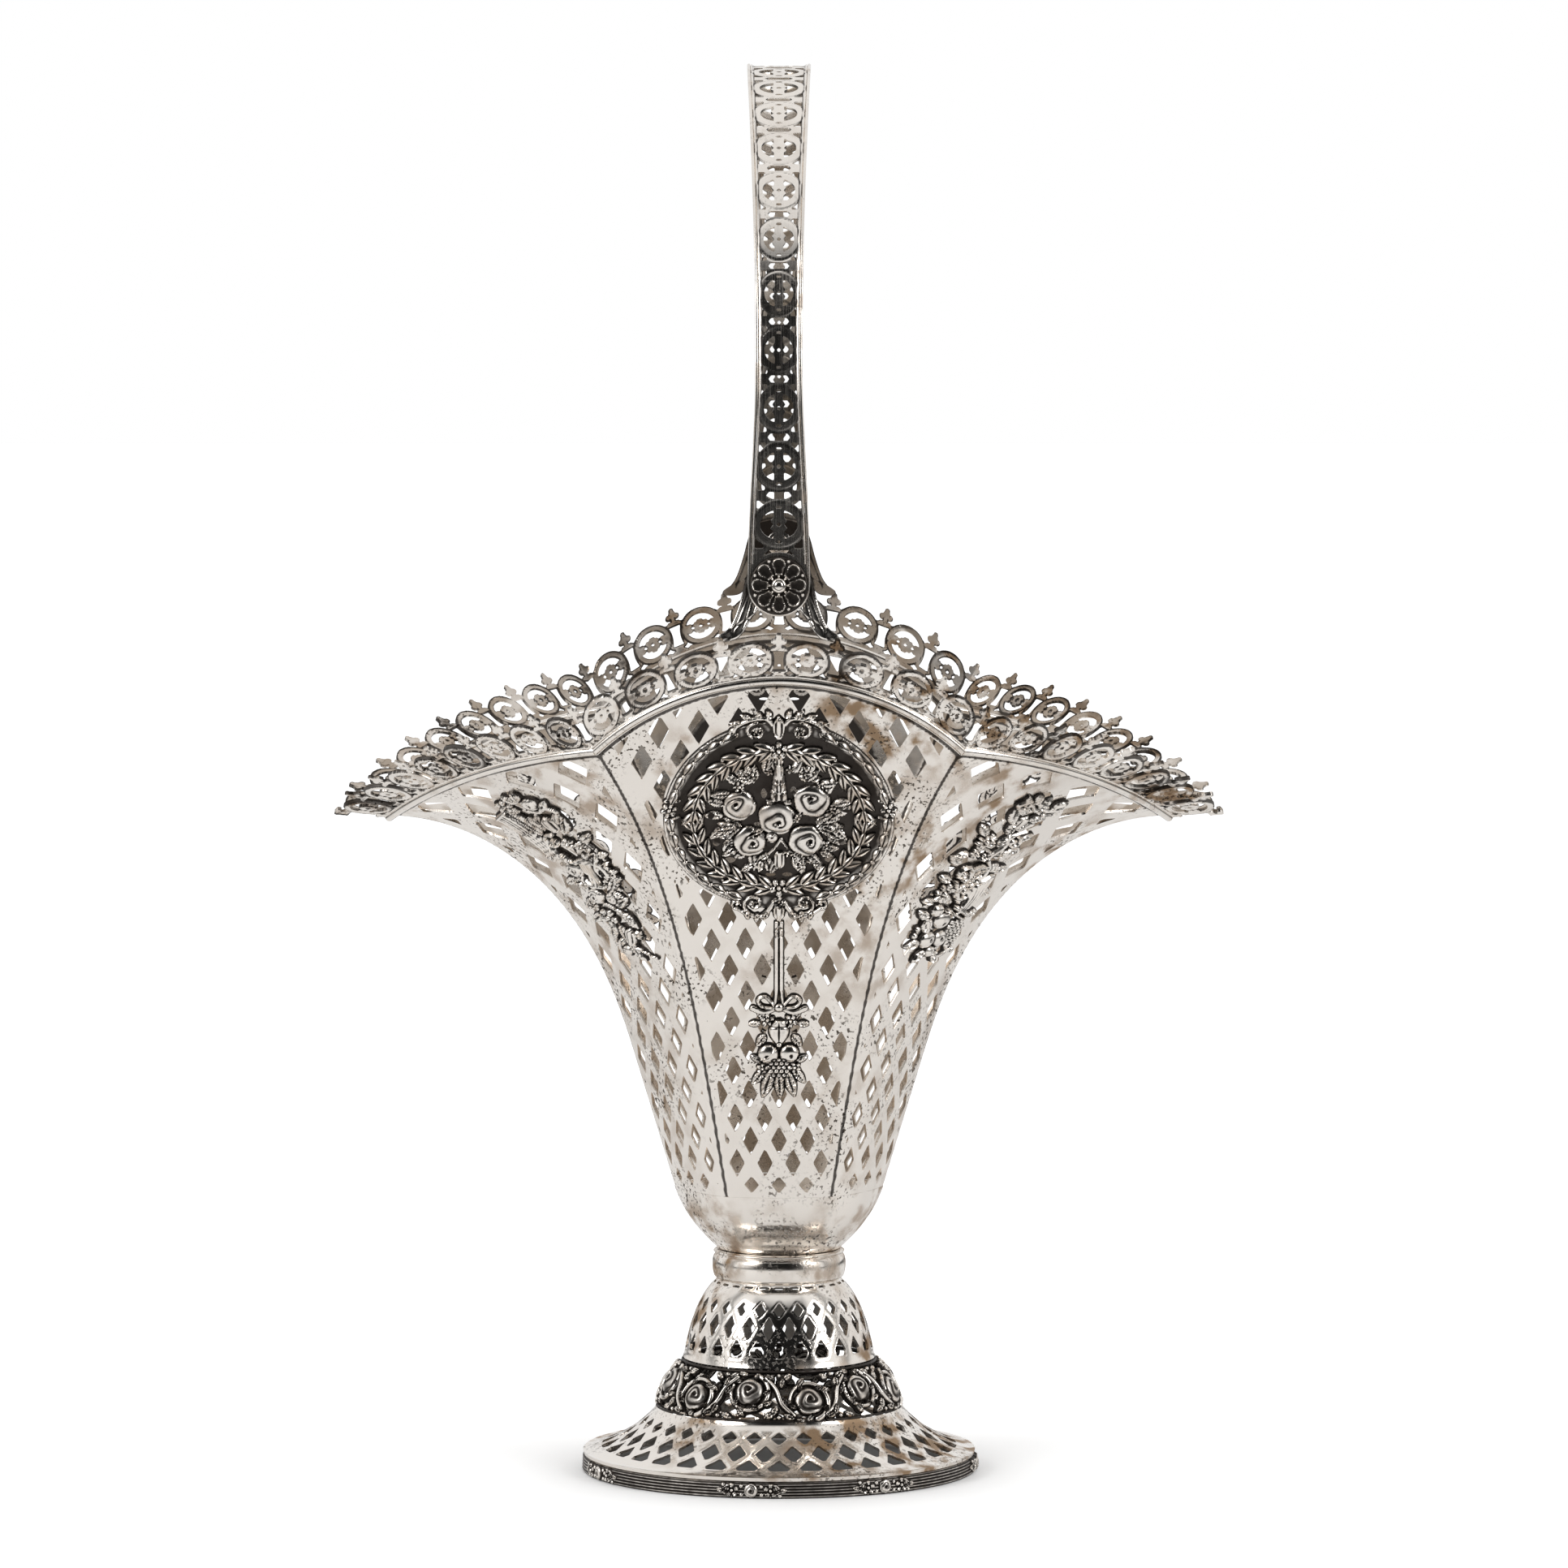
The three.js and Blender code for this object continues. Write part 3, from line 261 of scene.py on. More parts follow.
# %% [markdown]
# ## The six-sided body as a formula
# A rib is a line up the body that leans out more and more. A panel hangs between two ribs and
# bulges to a third one in its middle. `on_panel` turns flat pattern places into space.

# %% Ribs and panels
# Lean at the cup and flare towards the rim, in degrees, of each kind of rib.
CORNER_RIB, TIP_RIB, FRONT_RIB, SIDE_RIB = (17, 24), (17, 72.5), (14, 16), (14.5, 51)
# How far a rib turns round the axis on its way up, in degrees.
SEAM_DRIFT, SIDE_DRIFT = 5.5, 2
RIB_STEP, RIB_SPARE = 0.5, 42


def make_rib(radius, azimuth, lean, flare, drift, top=SEAM_LENGTH):
    s = np.arange(0, SEAM_LENGTH + FRONT_ARCH + RIB_SPARE, RIB_STEP)
    middle = s + RIB_STEP / 2
    curved = np.clip((np.minimum(middle, top) - STRAIGHT_LENGTH)
                     / (SEAM_LENGTH - STRAIGHT_LENGTH), 0, None)
    past = np.clip(middle - top, 0, None) / BORDER_WIDTH
    angle = np.radians(lean + flare * curved ** 1.5 - BORDER_UPTURN * past)
    r = radius + np.concatenate([[0], np.cumsum(np.sin(angle) * RIB_STEP)[:-1]])
    z = PANEL_BASE + np.concatenate([[0], np.cumsum(np.cos(angle) * RIB_STEP)[:-1]])

    def at(length):
        length = np.asarray(length, float)
        turn = np.radians(azimuth + drift * (length / SEAM_LENGTH) ** 2)
        radius_there = np.interp(length, s, r)
        return np.stack([radius_there * np.cos(turn), radius_there * np.sin(turn),
                         np.interp(length, s, z)], -1)

    return at


SEAMS = [make_rib(SEAM_RADIUS, azimuth, *rib, drift) for azimuth, rib, drift in (
    (-120, CORNER_RIB, -SEAM_DRIFT), (-60, CORNER_RIB, SEAM_DRIFT), (0, TIP_RIB, 0.0),
    (60, CORNER_RIB, -SEAM_DRIFT), (120, CORNER_RIB, SEAM_DRIFT), (180, TIP_RIB, 0.0))]
MIDDLES = [make_rib(MIDDLE_RADIUS, azimuth, *rib, drift, SEAM_LENGTH + arch)
           for azimuth, rib, drift, arch in (
    (-90, FRONT_RIB, 0.0, FRONT_ARCH), (-30, SIDE_RIB, SIDE_DRIFT, SIDE_ARCH),
    (30, SIDE_RIB, -SIDE_DRIFT, SIDE_ARCH), (90, FRONT_RIB, 0.0, FRONT_ARCH),
    (150, SIDE_RIB, SIDE_DRIFT, SIDE_ARCH), (-150, SIDE_RIB, -SIDE_DRIFT, SIDE_ARCH))]
PANEL_NAMES = ["front", "right_front", "right_back", "back", "left_back", "left_front"]
# +1 where the side tip is the panel's right seam, -1 where it is its left one
TIP_SIDE = [0, 1, -1, 0, 1, -1]


def is_front(k):
    return k % 3 == 0


def on_panel(k, u, s):
    left, right, middle = SEAMS[k](s), SEAMS[(k + 1) % 6](s), MIDDLES[k](s)
    u = np.asarray(u, float)[..., None]
    return middle + (right - left) / 2 * u + ((left + right) / 2 - middle) * u * u


def unit(v):
    return v / np.maximum(np.linalg.norm(v, axis=-1, keepdims=True), 1e-12)


def panel_normal(k, u, s):
    u, s = np.asarray(u, float), np.asarray(s, float)
    across = on_panel(k, u + 0.01, s) - on_panel(k, u - 0.01, s)
    up = on_panel(k, u, s + 1) - on_panel(k, u, np.maximum(s - 1, 0))
    return unit(np.cross(across, up))


def thickness_line(k, u, s):
    own = panel_normal(k, u, s)
    side = np.where(u < 0, -1.0, 1.0)
    here = panel_normal(k, side, s)
    there = np.where((side > 0)[..., None], panel_normal((k + 1) % 6, -side, s),
                     panel_normal((k + 5) % 6, -side, s))
    mitre = (here + there) / (1 + np.sum(here * there, -1, keepdims=True))
    return own + (mitre - here) * (np.abs(u) ** 6)[..., None]


def half_width(k, s):
    return np.linalg.norm(SEAMS[(k + 1) % 6](s) - SEAMS[k](s), axis=-1) / 2


def rim_line(k, u):
    arch = FRONT_ARCH if is_front(k) else SIDE_ARCH
    return SEAM_LENGTH + arch * (1 - np.clip(np.abs(u), 0, 1) ** 1.8)


def border_width(k, u):
    part = (1 + np.asarray(u) * TIP_SIDE[k]) / 2 if TIP_SIDE[k] else np.zeros_like(u)
    return BORDER_WIDTH + (TIP_BORDER_WIDTH - BORDER_WIDTH) * np.clip(part, 0, 1)


def bend_on_panel(k, x, s, height):
    """Flat pattern places (mm across, mm up, height above the sheet) to space."""
    u = x / half_width(k, s)
    return on_panel(k, u, s) + thickness_line(k, u, s) * np.asarray(height)[..., None]


print("front panel: width at the rim", round(float(2 * half_width(0, SEAM_LENGTH)), 1), "mm")

# %% [markdown]
# ## From a flat field to a pierced sheet
# A pierced pattern is easiest to write as a field: a number at every flat place that is
# positive in metal and negative in a hole. Walking a fine grid and cutting its squares where
# the field crosses zero gives clean hole edges, whatever the pattern. Height above the sheet
# is a second field on the same grid, so stamped relief comes for free.

# %% Field to mesh
# For each of the sixteen ways a square's corners can be in metal: the outline that is kept.
# Numbers 0 to 3 are corners and 4 to 7 are cuts on the edges that follow them.
SQUARES = {
    1: [0, 4, 7], 2: [1, 5, 4], 3: [0, 1, 5, 7], 4: [2, 6, 5], 5: [0, 4, 5, 2, 6, 7],
    6: [1, 2, 6, 4], 7: [0, 1, 2, 6, 7], 8: [3, 7, 6], 9: [0, 4, 6, 3], 10: [1, 5, 6, 3, 7, 4],
    11: [0, 1, 5, 6, 3], 12: [2, 3, 7, 5], 13: [0, 4, 5, 2, 3], 14: [1, 2, 3, 7, 4],
    15: [0, 1, 2, 3],
}
# Smallest value of a field, how near a cut may come to a grid point as a share of the step,
# and the rise that marks the back of a sheet.
LEAST_FIELD, CUT_MARGIN, BACK_RISE = 1e-6, 0.02, -9.0


def cut_field(field, xs, ys):
    """Flat places and triangles of the metal of a field given on a grid [y, x]."""
    rows, cols = field.shape
    field = np.where(np.abs(field) < LEAST_FIELD, LEAST_FIELD, field)
    inside = field > 0
    corner = np.arange(rows * cols).reshape(rows, cols)
    ids = [corner[:-1, :-1], corner[:-1, 1:], corner[1:, 1:], corner[1:, :-1]]
    code = sum(inside.ravel()[c].astype(int) << bit for bit, c in enumerate(ids))
    flat = field.ravel()
    grid = np.stack(np.meshgrid(xs, ys), -1).reshape(-1, 2)
    size = rows * cols

    def cut_key(a, b):
        return size + np.minimum(a, b) * 2 + (np.abs(a - b) != 1)

    tokens = ids + [cut_key(ids[j], ids[(j + 1) % 4]) for j in range(4)]
    triangles = []
    for kind, outline in SQUARES.items():
        chosen = code == kind
        if chosen.any():
            loop = [tokens[t][chosen] for t in outline]
            for j in range(1, len(loop) - 1):
                triangles.append(np.stack([loop[0], loop[j], loop[j + 1]], -1))
    triangles = np.concatenate(triangles)
    used, faces = np.unique(triangles, return_inverse=True)
    faces = faces.reshape(-1, 3)
    places = np.empty((len(used), 2))
    plain = used < size
    places[plain] = grid[used[plain]]
    cuts = used[~plain] - size
    a = cuts // 2
    b = a + np.where(cuts % 2 == 1, cols, 1)
    part = np.clip(flat[a] / (flat[a] - flat[b]), CUT_MARGIN, 1 - CUT_MARGIN)
    places[~plain] = grid[a] + (grid[b] - grid[a]) * part[:, None]
    return places, faces


def border_edges(faces):
    edges = np.concatenate([faces[:, [0, 1]], faces[:, [1, 2]], faces[:, [2, 0]]])
    key = np.sort(edges, 1)
    _, first, count = np.unique(key, axis=0, return_index=True, return_counts=True)
    return edges[first[count == 1]]


def sample(grid, xs, ys, places):
    """Reads a gridded value at flat places, between the grid points."""
    fx = np.clip((places[:, 0] - xs[0]) / (xs[1] - xs[0]), 0, len(xs) - 1.001)
    fy = np.clip((places[:, 1] - ys[0]) / (ys[1] - ys[0]), 0, len(ys) - 1.001)
    i, j = fx.astype(int), fy.astype(int)
    a, b = fx - i, fy - j
    return ((grid[j, i] * (1 - a) + grid[j, i + 1] * a) * (1 - b)
            + (grid[j + 1, i] * (1 - a) + grid[j + 1, i + 1] * a) * b)


def make_object(name, places, faces, values, sharp=38):
    """A mesh object from places in millimetres; values are named numbers at each place."""
    mesh = bpy.data.meshes.new(name)
    faces = np.asarray(faces)
    mesh.vertices.add(len(places))
    mesh.vertices.foreach_set("co", (np.asarray(places) * MM).astype(np.float32).ravel())
    mesh.loops.add(faces.size)
    mesh.loops.foreach_set("vertex_index", faces.astype(np.int32).ravel())
    mesh.polygons.add(len(faces))
    starts = np.arange(len(faces), dtype=np.int32) * faces.shape[1]
    mesh.polygons.foreach_set("loop_start", starts)
    mesh.update(calc_edges=True)
    mesh.validate()
    for key, value in values.items():
        layer = mesh.attributes.new(key, "FLOAT", "POINT")
        layer.data.foreach_set("value", np.asarray(value, np.float32))
    mesh.polygons.foreach_set("use_smooth", np.ones(len(mesh.polygons), bool))
    mesh.set_sharp_from_angle(angle=math.radians(sharp))
    return add_object(name, mesh)


def sheet_mesh(name, field, xs, ys, place, height, values, back=-SHEET, open_sides=False):
    """Cuts a field, bends it by place(x, y, height) and gives it a back and walls."""
    flat, faces = cut_field(field, xs, ys)
    tall = sample(height, xs, ys, flat)
    outer = place(flat[:, 0], flat[:, 1], tall)
    inner = place(flat[:, 0], flat[:, 1], np.full(len(flat), back) + np.minimum(tall, 0))
    edges = border_edges(faces)
    if open_sides:
        on_side = np.isclose(flat[:, 0], xs[0]) | np.isclose(flat[:, 0], xs[-1])
        edges = edges[~(on_side[edges[:, 0]] & on_side[edges[:, 1]])]
    n = len(flat)
    walls = np.concatenate([
        np.stack([edges[:, 0], edges[:, 1] + n, edges[:, 1]], -1),
        np.stack([edges[:, 0], edges[:, 0] + n, edges[:, 1] + n], -1)])
    everything = np.concatenate([faces, faces[:, ::-1] + n, walls])
    extra = {"rise": np.concatenate([tall, np.full(n, BACK_RISE)])}
    for key, grid in values.items():
        there = sample(grid, xs, ys, flat)
        extra[key] = np.concatenate([there, there])
    return make_object(name, np.concatenate([outer, inner]), everything, extra)


def grid_of(width, low, high, step):
    xs = np.linspace(-width, width, int(round(2 * width / step)) + 1)
    ys = np.linspace(low, high, int(round((high - low) / step)) + 1)
    X, Y = np.meshgrid(xs, ys)
    return xs, ys, X, Y


print("field tools ready")

# %% [markdown]
# ## Node trees that repeat, turn and sweep
# Three small Geometry Nodes trees do the repeating work. `ring` turns copies of one cell
# round the upright axis and welds them: lattices, beads and petals. `sweep` draws a wire along
# a path: mouldings, reeds and the handle's wires. `scatter` sets a leaf or a husk at even steps
# along a path, turned to follow it. Each one ends by making its copies real and giving them a
# finish.

# %% Geometry Nodes helpers
GEOMETRY = "GeometryNode"
# Widest gap that is welded between neighbouring copies of a cell, in millimetres.
RING_WELD = 0.01


def finish_tree(tree, made, given, result, weld=False):
    """Every tree ends alike: the copies are made real, welded if asked, and get a finish."""
    last = add_node(tree, GEOMETRY + "RealizeInstances", {0: made})
    if weld:
        last = add_node(tree, GEOMETRY + "MergeByDistance",
                        {"Geometry": last, "Distance": given["Weld"]})
    last = add_node(tree, GEOMETRY + "SetMaterial",
                    {"Geometry": last, "Material": given["Finish"]})
    feed(tree, result["Geometry"], last)
    return tree


def ring_tree():
    tree, given, result = start_group(
        "ring of cells", "GeometryNodeTree",
        {"Geometry": "Geometry", "Count": "Int", "Weld": "Float", "Finish": "Material"},
        {"Geometry": "Geometry"})
    row = add_node(tree, GEOMETRY + "MeshLine", {"Offset": (0, 0, 0), "Count": given["Count"]})
    index = Flow(tree, add_node(tree, GEOMETRY + "InputIndex").outputs[0])
    turn = index.math("DIVIDE", given["Count"]) * (2 * math.pi)
    angles = add_node(tree, "ShaderNodeCombineXYZ", {"Z": turn})
    copies = add_node(tree, GEOMETRY + "InstanceOnPoints",
                      {"Points": row, "Instance": given["Geometry"], "Rotation": angles})
    return finish_tree(tree, copies, given, result, weld=True)


def sweep_tree():
    tree, given, result = start_group(
        "wire along a path", "GeometryNodeTree",
        {"Geometry": "Geometry", "Radius": "Float", "Sides": "Int", "Finish": "Material"},
        {"Geometry": "Geometry"})
    path = add_node(tree, GEOMETRY + "MeshToCurve", {"Mesh": given["Geometry"]})
    section = add_node(tree, GEOMETRY + "CurvePrimitiveCircle",
                       {"Radius": given["Radius"], "Resolution": given["Sides"]})
    drawn = add_node(tree, GEOMETRY + "CurveToMesh",
                     {"Curve": path, "Profile Curve": section, "Fill Caps": True})
    return finish_tree(tree, drawn, given, result)


def scatter_tree():
    tree, given, result = start_group(
        "stamps along a path", "GeometryNodeTree",
        {"Geometry": "Geometry", "Stamp": "Object", "Count": "Int", "Turn": "Float",
         "Size": "Float", "Uneven": "Float", "Finish": "Material"}, {"Geometry": "Geometry"})
    path = add_node(tree, GEOMETRY + "MeshToCurve", {"Mesh": given["Geometry"]})
    even = add_node(tree, GEOMETRY + "ResampleCurve", {"Curve": path, "Count": given["Count"]})
    along = add_node(tree, GEOMETRY + "InputTangent")
    split = add_node(tree, "ShaderNodeSeparateXYZ", {0: along}).outputs
    heading = Flow(tree, split["Y"]).math("ARCTAN2", split["X"]) + given["Turn"]
    angles = add_node(tree, "ShaderNodeCombineXYZ", {"Z": heading})
    chance = Flow(tree, add_node(tree, "FunctionNodeRandomValue", {"Seed": 5},
                                 data_type="FLOAT").outputs[1])
    size, uneven = given["Size"], given["Uneven"]
    spread = chance.steps(0.0, 1.0, size - uneven, size + uneven, "LINEAR")
    stamp = add_node(tree, GEOMETRY + "ObjectInfo", {"Object": given["Stamp"]})
    copies = add_node(tree, GEOMETRY + "InstanceOnPoints",
                      {"Points": even, "Instance": stamp.outputs["Geometry"],
                       "Rotation": angles, "Scale": spread})
    return finish_tree(tree, copies, given, result)


RING, SWEEP, SCATTER = ring_tree(), sweep_tree(), scatter_tree()


def run_tree(base, tree, **values):
    """Runs a tree on an object and returns the plain mesh that comes out."""
    modifier = base.modifiers.new("tree", "NODES")
    modifier.node_group = tree
    for item in tree.interface.items_tree:
        if item.in_out == "INPUT" and item.name in values:
            modifier[item.identifier] = values[item.name]
    view = bpy.context.evaluated_depsgraph_get()
    mesh = bpy.data.meshes.new_from_object(base.evaluated_get(view), depsgraph=view)
    base.modifiers.clear()
    return mesh


def discard(thing):
    mesh = thing.data
    bpy.data.objects.remove(thing)
    if mesh.users == 0:
        bpy.data.meshes.remove(mesh)


def path_object(points, closed=False):
    """An object of bare edges along places in millimetres."""
    count = len(points)
    edges = [(k, k + 1) for k in range(count - 1)] + ([(count - 1, 0)] if closed else [])
    mesh = bpy.data.meshes.new("path")
    mesh.from_pydata([tuple(np.asarray(p) * MM) for p in points], edges, [])
    return add_object("path", mesh)


def mesh_part(mesh, plain_crest=0.7):
    """Places in millimetres, triangles and crest of a mesh."""
    mesh.calc_loop_triangles()
    places = np.empty(len(mesh.vertices) * 3, np.float32)
    mesh.vertices.foreach_get("co", places)
    faces = np.empty(len(mesh.loop_triangles) * 3, np.int32)
    mesh.loop_triangles.foreach_get("vertices", faces)
    crest = np.full(len(mesh.vertices), plain_crest)
    if "crest" in mesh.attributes:
        crest = np.empty(len(mesh.vertices), np.float32)
        mesh.attributes["crest"].data.foreach_get("value", crest)
    return places.reshape(-1, 3).astype(float) / MM, faces.reshape(-1, 3), crest


def joined(name, parts, sharp=38):
    """One object out of several lots of (places, faces, crest)."""
    places, faces, crest, first = [], [], [], 0
    for part_places, part_faces, part_crest in parts:
        places.append(part_places)
        faces.append(part_faces + first)
        crest.append(np.broadcast_to(part_crest, len(part_places)))
        first += len(part_places)
    return make_object(name, np.concatenate(places), np.concatenate(faces),
                       {"crest": np.concatenate(crest)}, sharp)


def wire(points, radius, sides, crest=0.8, closed=False):
    path = path_object(points, closed)
    mesh = run_tree(path, SWEEP, Radius=radius * MM, Sides=sides)
    discard(path)
    return mesh_part(mesh, crest)


def ring_of(cell, count):
    """Copies of a cell round the axis; the cell itself is used up."""
    ring = mesh_part(run_tree(cell, RING, Count=count, Weld=RING_WELD * MM))
    discard(cell)
    return ring


print("trees:", RING.name, "/", SWEEP.name, "/", SCATTER.name)

# %% [markdown]
# ## The silver
# Real silver keeps a thin warm tarnish where nobody rubs it, black oxide at the bottom of the
# relief, and small pits and scratches. Tarnish and pits are one node group that every finish
# uses with its own amounts. The oxide needs to know where the recesses are, so each mesh
# carries a number called `crest`: 0 deep in the relief and 1 on the tops.

# %% Shader groups and finishes
TARNISH_AND_SHADE_BROWN, PITTED = (0.40, 0.28, 0.18), (0.13, 0.11, 0.09)
CLEAN_SILVER, OXIDE_BLACK = (0.985, 0.928, 0.862), (0.035, 0.028, 0.024)
# Colours of the inner faces: painted shade with some tarnish; inside the foot nearly black,
# painted shade.
BASKET_INSIDE_SHADE_AND_TARNISH, FOOT_INSIDE_SHADE = (0.48, 0.40, 0.32), (0.10, 0.085, 0.07)
HANDLE_INSIDE_SHADE_AND_TARNISH = (0.45, 0.38, 0.30)
# Inner faces are darker: partly dull tarnish where no polishing cloth reaches, partly painted
# shade; inside the foot nearly black, painted shade.
INSIDE_SHADE_AND_TARNISH_SHARE = 0.95


def noise(tree, scale, detail, place):
    node = add_node(tree, "ShaderNodeTexNoise",
                    {"Scale": scale, "Detail": detail, "Vector": place})
    return Flow(tree, node.outputs["Fac"])


def carried(tree, key):
    """A number that the mesh carries at each place."""
    return Flow(tree, add_node(tree, "ShaderNodeAttribute", attribute_name=key).outputs["Fac"])


def blend_colours(tree, mask, first, second):
    node = add_node(tree, "ShaderNodeMix", {"Factor": mask}, data_type="RGBA")
    colours = [socket for socket in node.inputs if socket.type == "RGBA"]
    for socket, value in zip(colours, (first, second)):
        feed(tree, socket, (*value, 1) if isinstance(value, tuple) else value)
    return next(socket for socket in node.outputs if socket.type == "RGBA")


def silver_surface_and_shade_group():
    """Warm tarnish patches, heavier high up where they also paint shade, dark pits and fine
    scratches in object space.
    """
    tree, given, result = start_group(
        "tarnish, shade and pits", "ShaderNodeTree",
        {"Patches": 0.5, "Pits": 0.5, "Scratches": 0.3, "Low": 0.1},
        {"Color": "Color", "Roughness": "Float", "Height": "Float"})
    coords = add_node(tree, "ShaderNodeTexCoord").outputs["Object"]
    split = add_node(tree, "ShaderNodeSeparateXYZ", {0: coords}).outputs
    # Tarnish is heavier high up and on the right; high up, near the rim, the darkening is partly
    # painted shade.
    upper = Flow(tree, split["Z"]).steps(0.13, 0.24)
    right = Flow(tree, split["X"]).steps(-0.06, 0.06)
    upper_right_tarnish_and_shade = upper * (right * 0.55 + 0.45)
    clouds = noise(tree, 130, 7, coords)
    where = noise(tree, 26, 2, coords).steps(0.40, 0.62) * clouds.steps(0.40, 0.66)
    patch = where * given["Patches"] * (upper_right_tarnish_and_shade + 0.26)
    zone = noise(tree, 45, 2, coords).steps(0.46, 0.64)
    specks = noise(tree, 900, 3, coords).steps(0.56, 0.63) * zone * given["Pits"]
    warm = blend_colours(tree, patch, CLEAN_SILVER, TARNISH_AND_SHADE_BROWN)
    feed(tree, result["Color"], blend_colours(tree, specks, warm, PITTED))
    drawn_out = add_node(tree, "ShaderNodeMapping", {
        "Vector": coords, "Rotation": (0.5, 0.9, 0.3), "Scale": (60, 2600, 700)})
    scratch = noise(tree, 1.0, 2, drawn_out).steps(0.55, 0.75) * given["Scratches"]
    rough = clouds * 0.12 + given["Low"] + patch * 0.35 + specks * 0.4 + scratch * 0.12
    feed(tree, result["Roughness"], rough)
    soft = noise(tree, 55, 1, coords)
    feed(tree, result["Height"], soft * 6.0 - specks - scratch * 0.3)
    return tree


def oxide_group():
    """Black oxide left in the recesses; Reach says how far up the relief it climbs."""
    tree, given, result = start_group(
        "oxide in recesses", "ShaderNodeTree", {"Crest": 1.0, "Reach": 0.5, "Strength": 1.0},
        {"Mask": "Float"})
    coords = add_node(tree, "ShaderNodeTexCoord").outputs["Object"]
    broken = (noise(tree, 420, 3, coords) - 0.5) * 0.35
    depth = given["Reach"] - (given["Crest"] + broken)
    feed(tree, result["Mask"], depth.steps(-0.16, 0.22) * given["Strength"])
    return tree


SILVER_SURFACE_AND_SHADE, OXIDE = silver_surface_and_shade_group(), oxide_group()


def silver(name, patches, pits, low, reach, scratches=0.3, strength=0.9, bump=0.02,
           within=BASKET_INSIDE_SHADE_AND_TARNISH, clean=0.7, brushed=0.0):
    material = bpy.data.materials.new(name)
    material.use_nodes = True
    tree = material.node_tree
    surface = add_node(tree, "ShaderNodeGroup", {
        "Patches": patches, "Pits": pits, "Scratches": scratches, "Low": low},
        node_tree=SILVER_SURFACE_AND_SHADE).outputs
    oxide = Flow(tree, add_node(tree, "ShaderNodeGroup", {
        "Crest": carried(tree, "crest"), "Reach": reach, "Strength": strength},
        node_tree=OXIDE).outputs["Mask"])
    inside = carried(tree, "rise").steps(-3.0, -6.0)
    coords = add_node(tree, "ShaderNodeTexCoord").outputs["Object"]
    mottled = noise(tree, 85, 4, coords).steps(0.4, 0.6) * clean + (1.0 - clean)
    # Inner faces take the darker inside colour: painted shade with some tarnish.
    inner_shade_and_tarnish = blend_colours(tree, inside * mottled * INSIDE_SHADE_AND_TARNISH_SHARE, surface["Color"], within)
    rough = Flow(tree, surface["Roughness"]) + oxide * 0.3 + inside * 0.12
    height = Flow(tree, surface["Height"])
    if brushed:
        lengthwise = add_node(tree, "ShaderNodeCombineXYZ", {
            "X": carried(tree, "across") * 4.0, "Y": carried(tree, "along") * 0.06})
        strokes = noise(tree, 1.0, 4, lengthwise)
        height = height + strokes * brushed
        rough = rough + strokes.steps(0.4, 0.7) * 0.16
    relief = add_node(tree, "ShaderNodeBump", {
        "Strength": 1.0, "Distance": bump * MM, "Height": height})
    shader = tree.nodes["Principled BSDF"]
    for label, value in (("Metallic", 1.0), ("Roughness", rough), ("Normal", relief),
                         ("Base Color", blend_colours(tree, oxide, inner_shade_and_tarnish, OXIDE_BLACK))):
        feed(tree, shader.inputs[label], value)
    return material


SHEET_SILVER = silver("beaten silver sheet", 1.1, 1.0, 0.07, 0.36)
RELIEF_SILVER = silver("oxidised relief", 0.5, 0.3, 0.12, 0.56, strength=0.97)
# The border's heavier tarnish is partly real tarnish and partly painted dark reflections.
BORDER_SILVER = silver("rim border silver", 1.6, 1.0, 0.12, 0.54)
FOOT_SILVER = silver("polished foot silver", 5.0, 0.8, 0.05, 0.30, bump=0.03,
                     within=FOOT_INSIDE_SHADE, clean=0.1)
HANDLE_SILVER = silver("brushed handle silver", 0.2, 0.2, 0.08, 0.40, scratches=0.5,
                       within=HANDLE_INSIDE_SHADE_AND_TARNISH, brushed=2.0)
WIRE_SILVER = silver("drawn wire silver", 0.6, 0.4, 0.10, 0.30)
FOOT_RELIEF = silver("oxidised foot relief", 1.0, 0.2, 0.12, 0.82, strength=0.98,
                     within=FOOT_INSIDE_SHADE, clean=0.1)
PIVOT_SILVER = silver("dark cast silver", 0.1, 0.3, 0.10, 0.56, strength=0.97)
CUP_SILVER = silver("pitted cup silver", 3.5, 1.0, 0.07, 0.25, bump=0.05)
print("finishes:", [m.name for m in bpy.data.materials if m.name != "pale paper"])

# %% [markdown]
# ## Handing over, and reading a relief
# A finished piece gets its silver and the body that it rides on, and the solid that it stands
# for is hidden. A relief gets its `crest` by comparing each height with the mean of its
# surroundings: what stands above them is worn bright, and what lies below keeps its oxide.

# %% Handing a finished piece to the frame
# How far round a place its surroundings are taken, and how strongly it stands out of them.
CREST_REACH, CREST_GAIN = 0.9, 1.3


def finish_piece(piece, node, material, body="basket"):
    piece.data.materials.clear()
    piece.data.materials.append(material)
    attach(piece, body)
    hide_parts(node)


def soft_box(values, cells):
    """Mean of a grid over a square window, by running sums."""
    for axis in (0, 1):
        pad = [(0, 0), (0, 0)]
        pad[axis] = (cells + 1, cells)
        run = np.cumsum(np.pad(values, pad, mode="edge"), axis)
        span = 2 * cells + 1
        values = (np.take(run, range(span, run.shape[axis]), axis)
                  - np.take(run, range(run.shape[axis] - span), axis)) / span
    return values


def crest_of(height, step):
    """How far each place stands above its surroundings, as 0 to 1."""
    cells = max(1, int(CREST_REACH / step))
    around = soft_box(soft_box(height, cells), cells)
    return np.clip(0.5 + (height - around) * CREST_GAIN, 0, 1)


def ridge(distance, width):
    """A soft ridge, 1 on its line and nearly 0 at twice its width."""
    return np.exp(-(distance / width) ** 2)


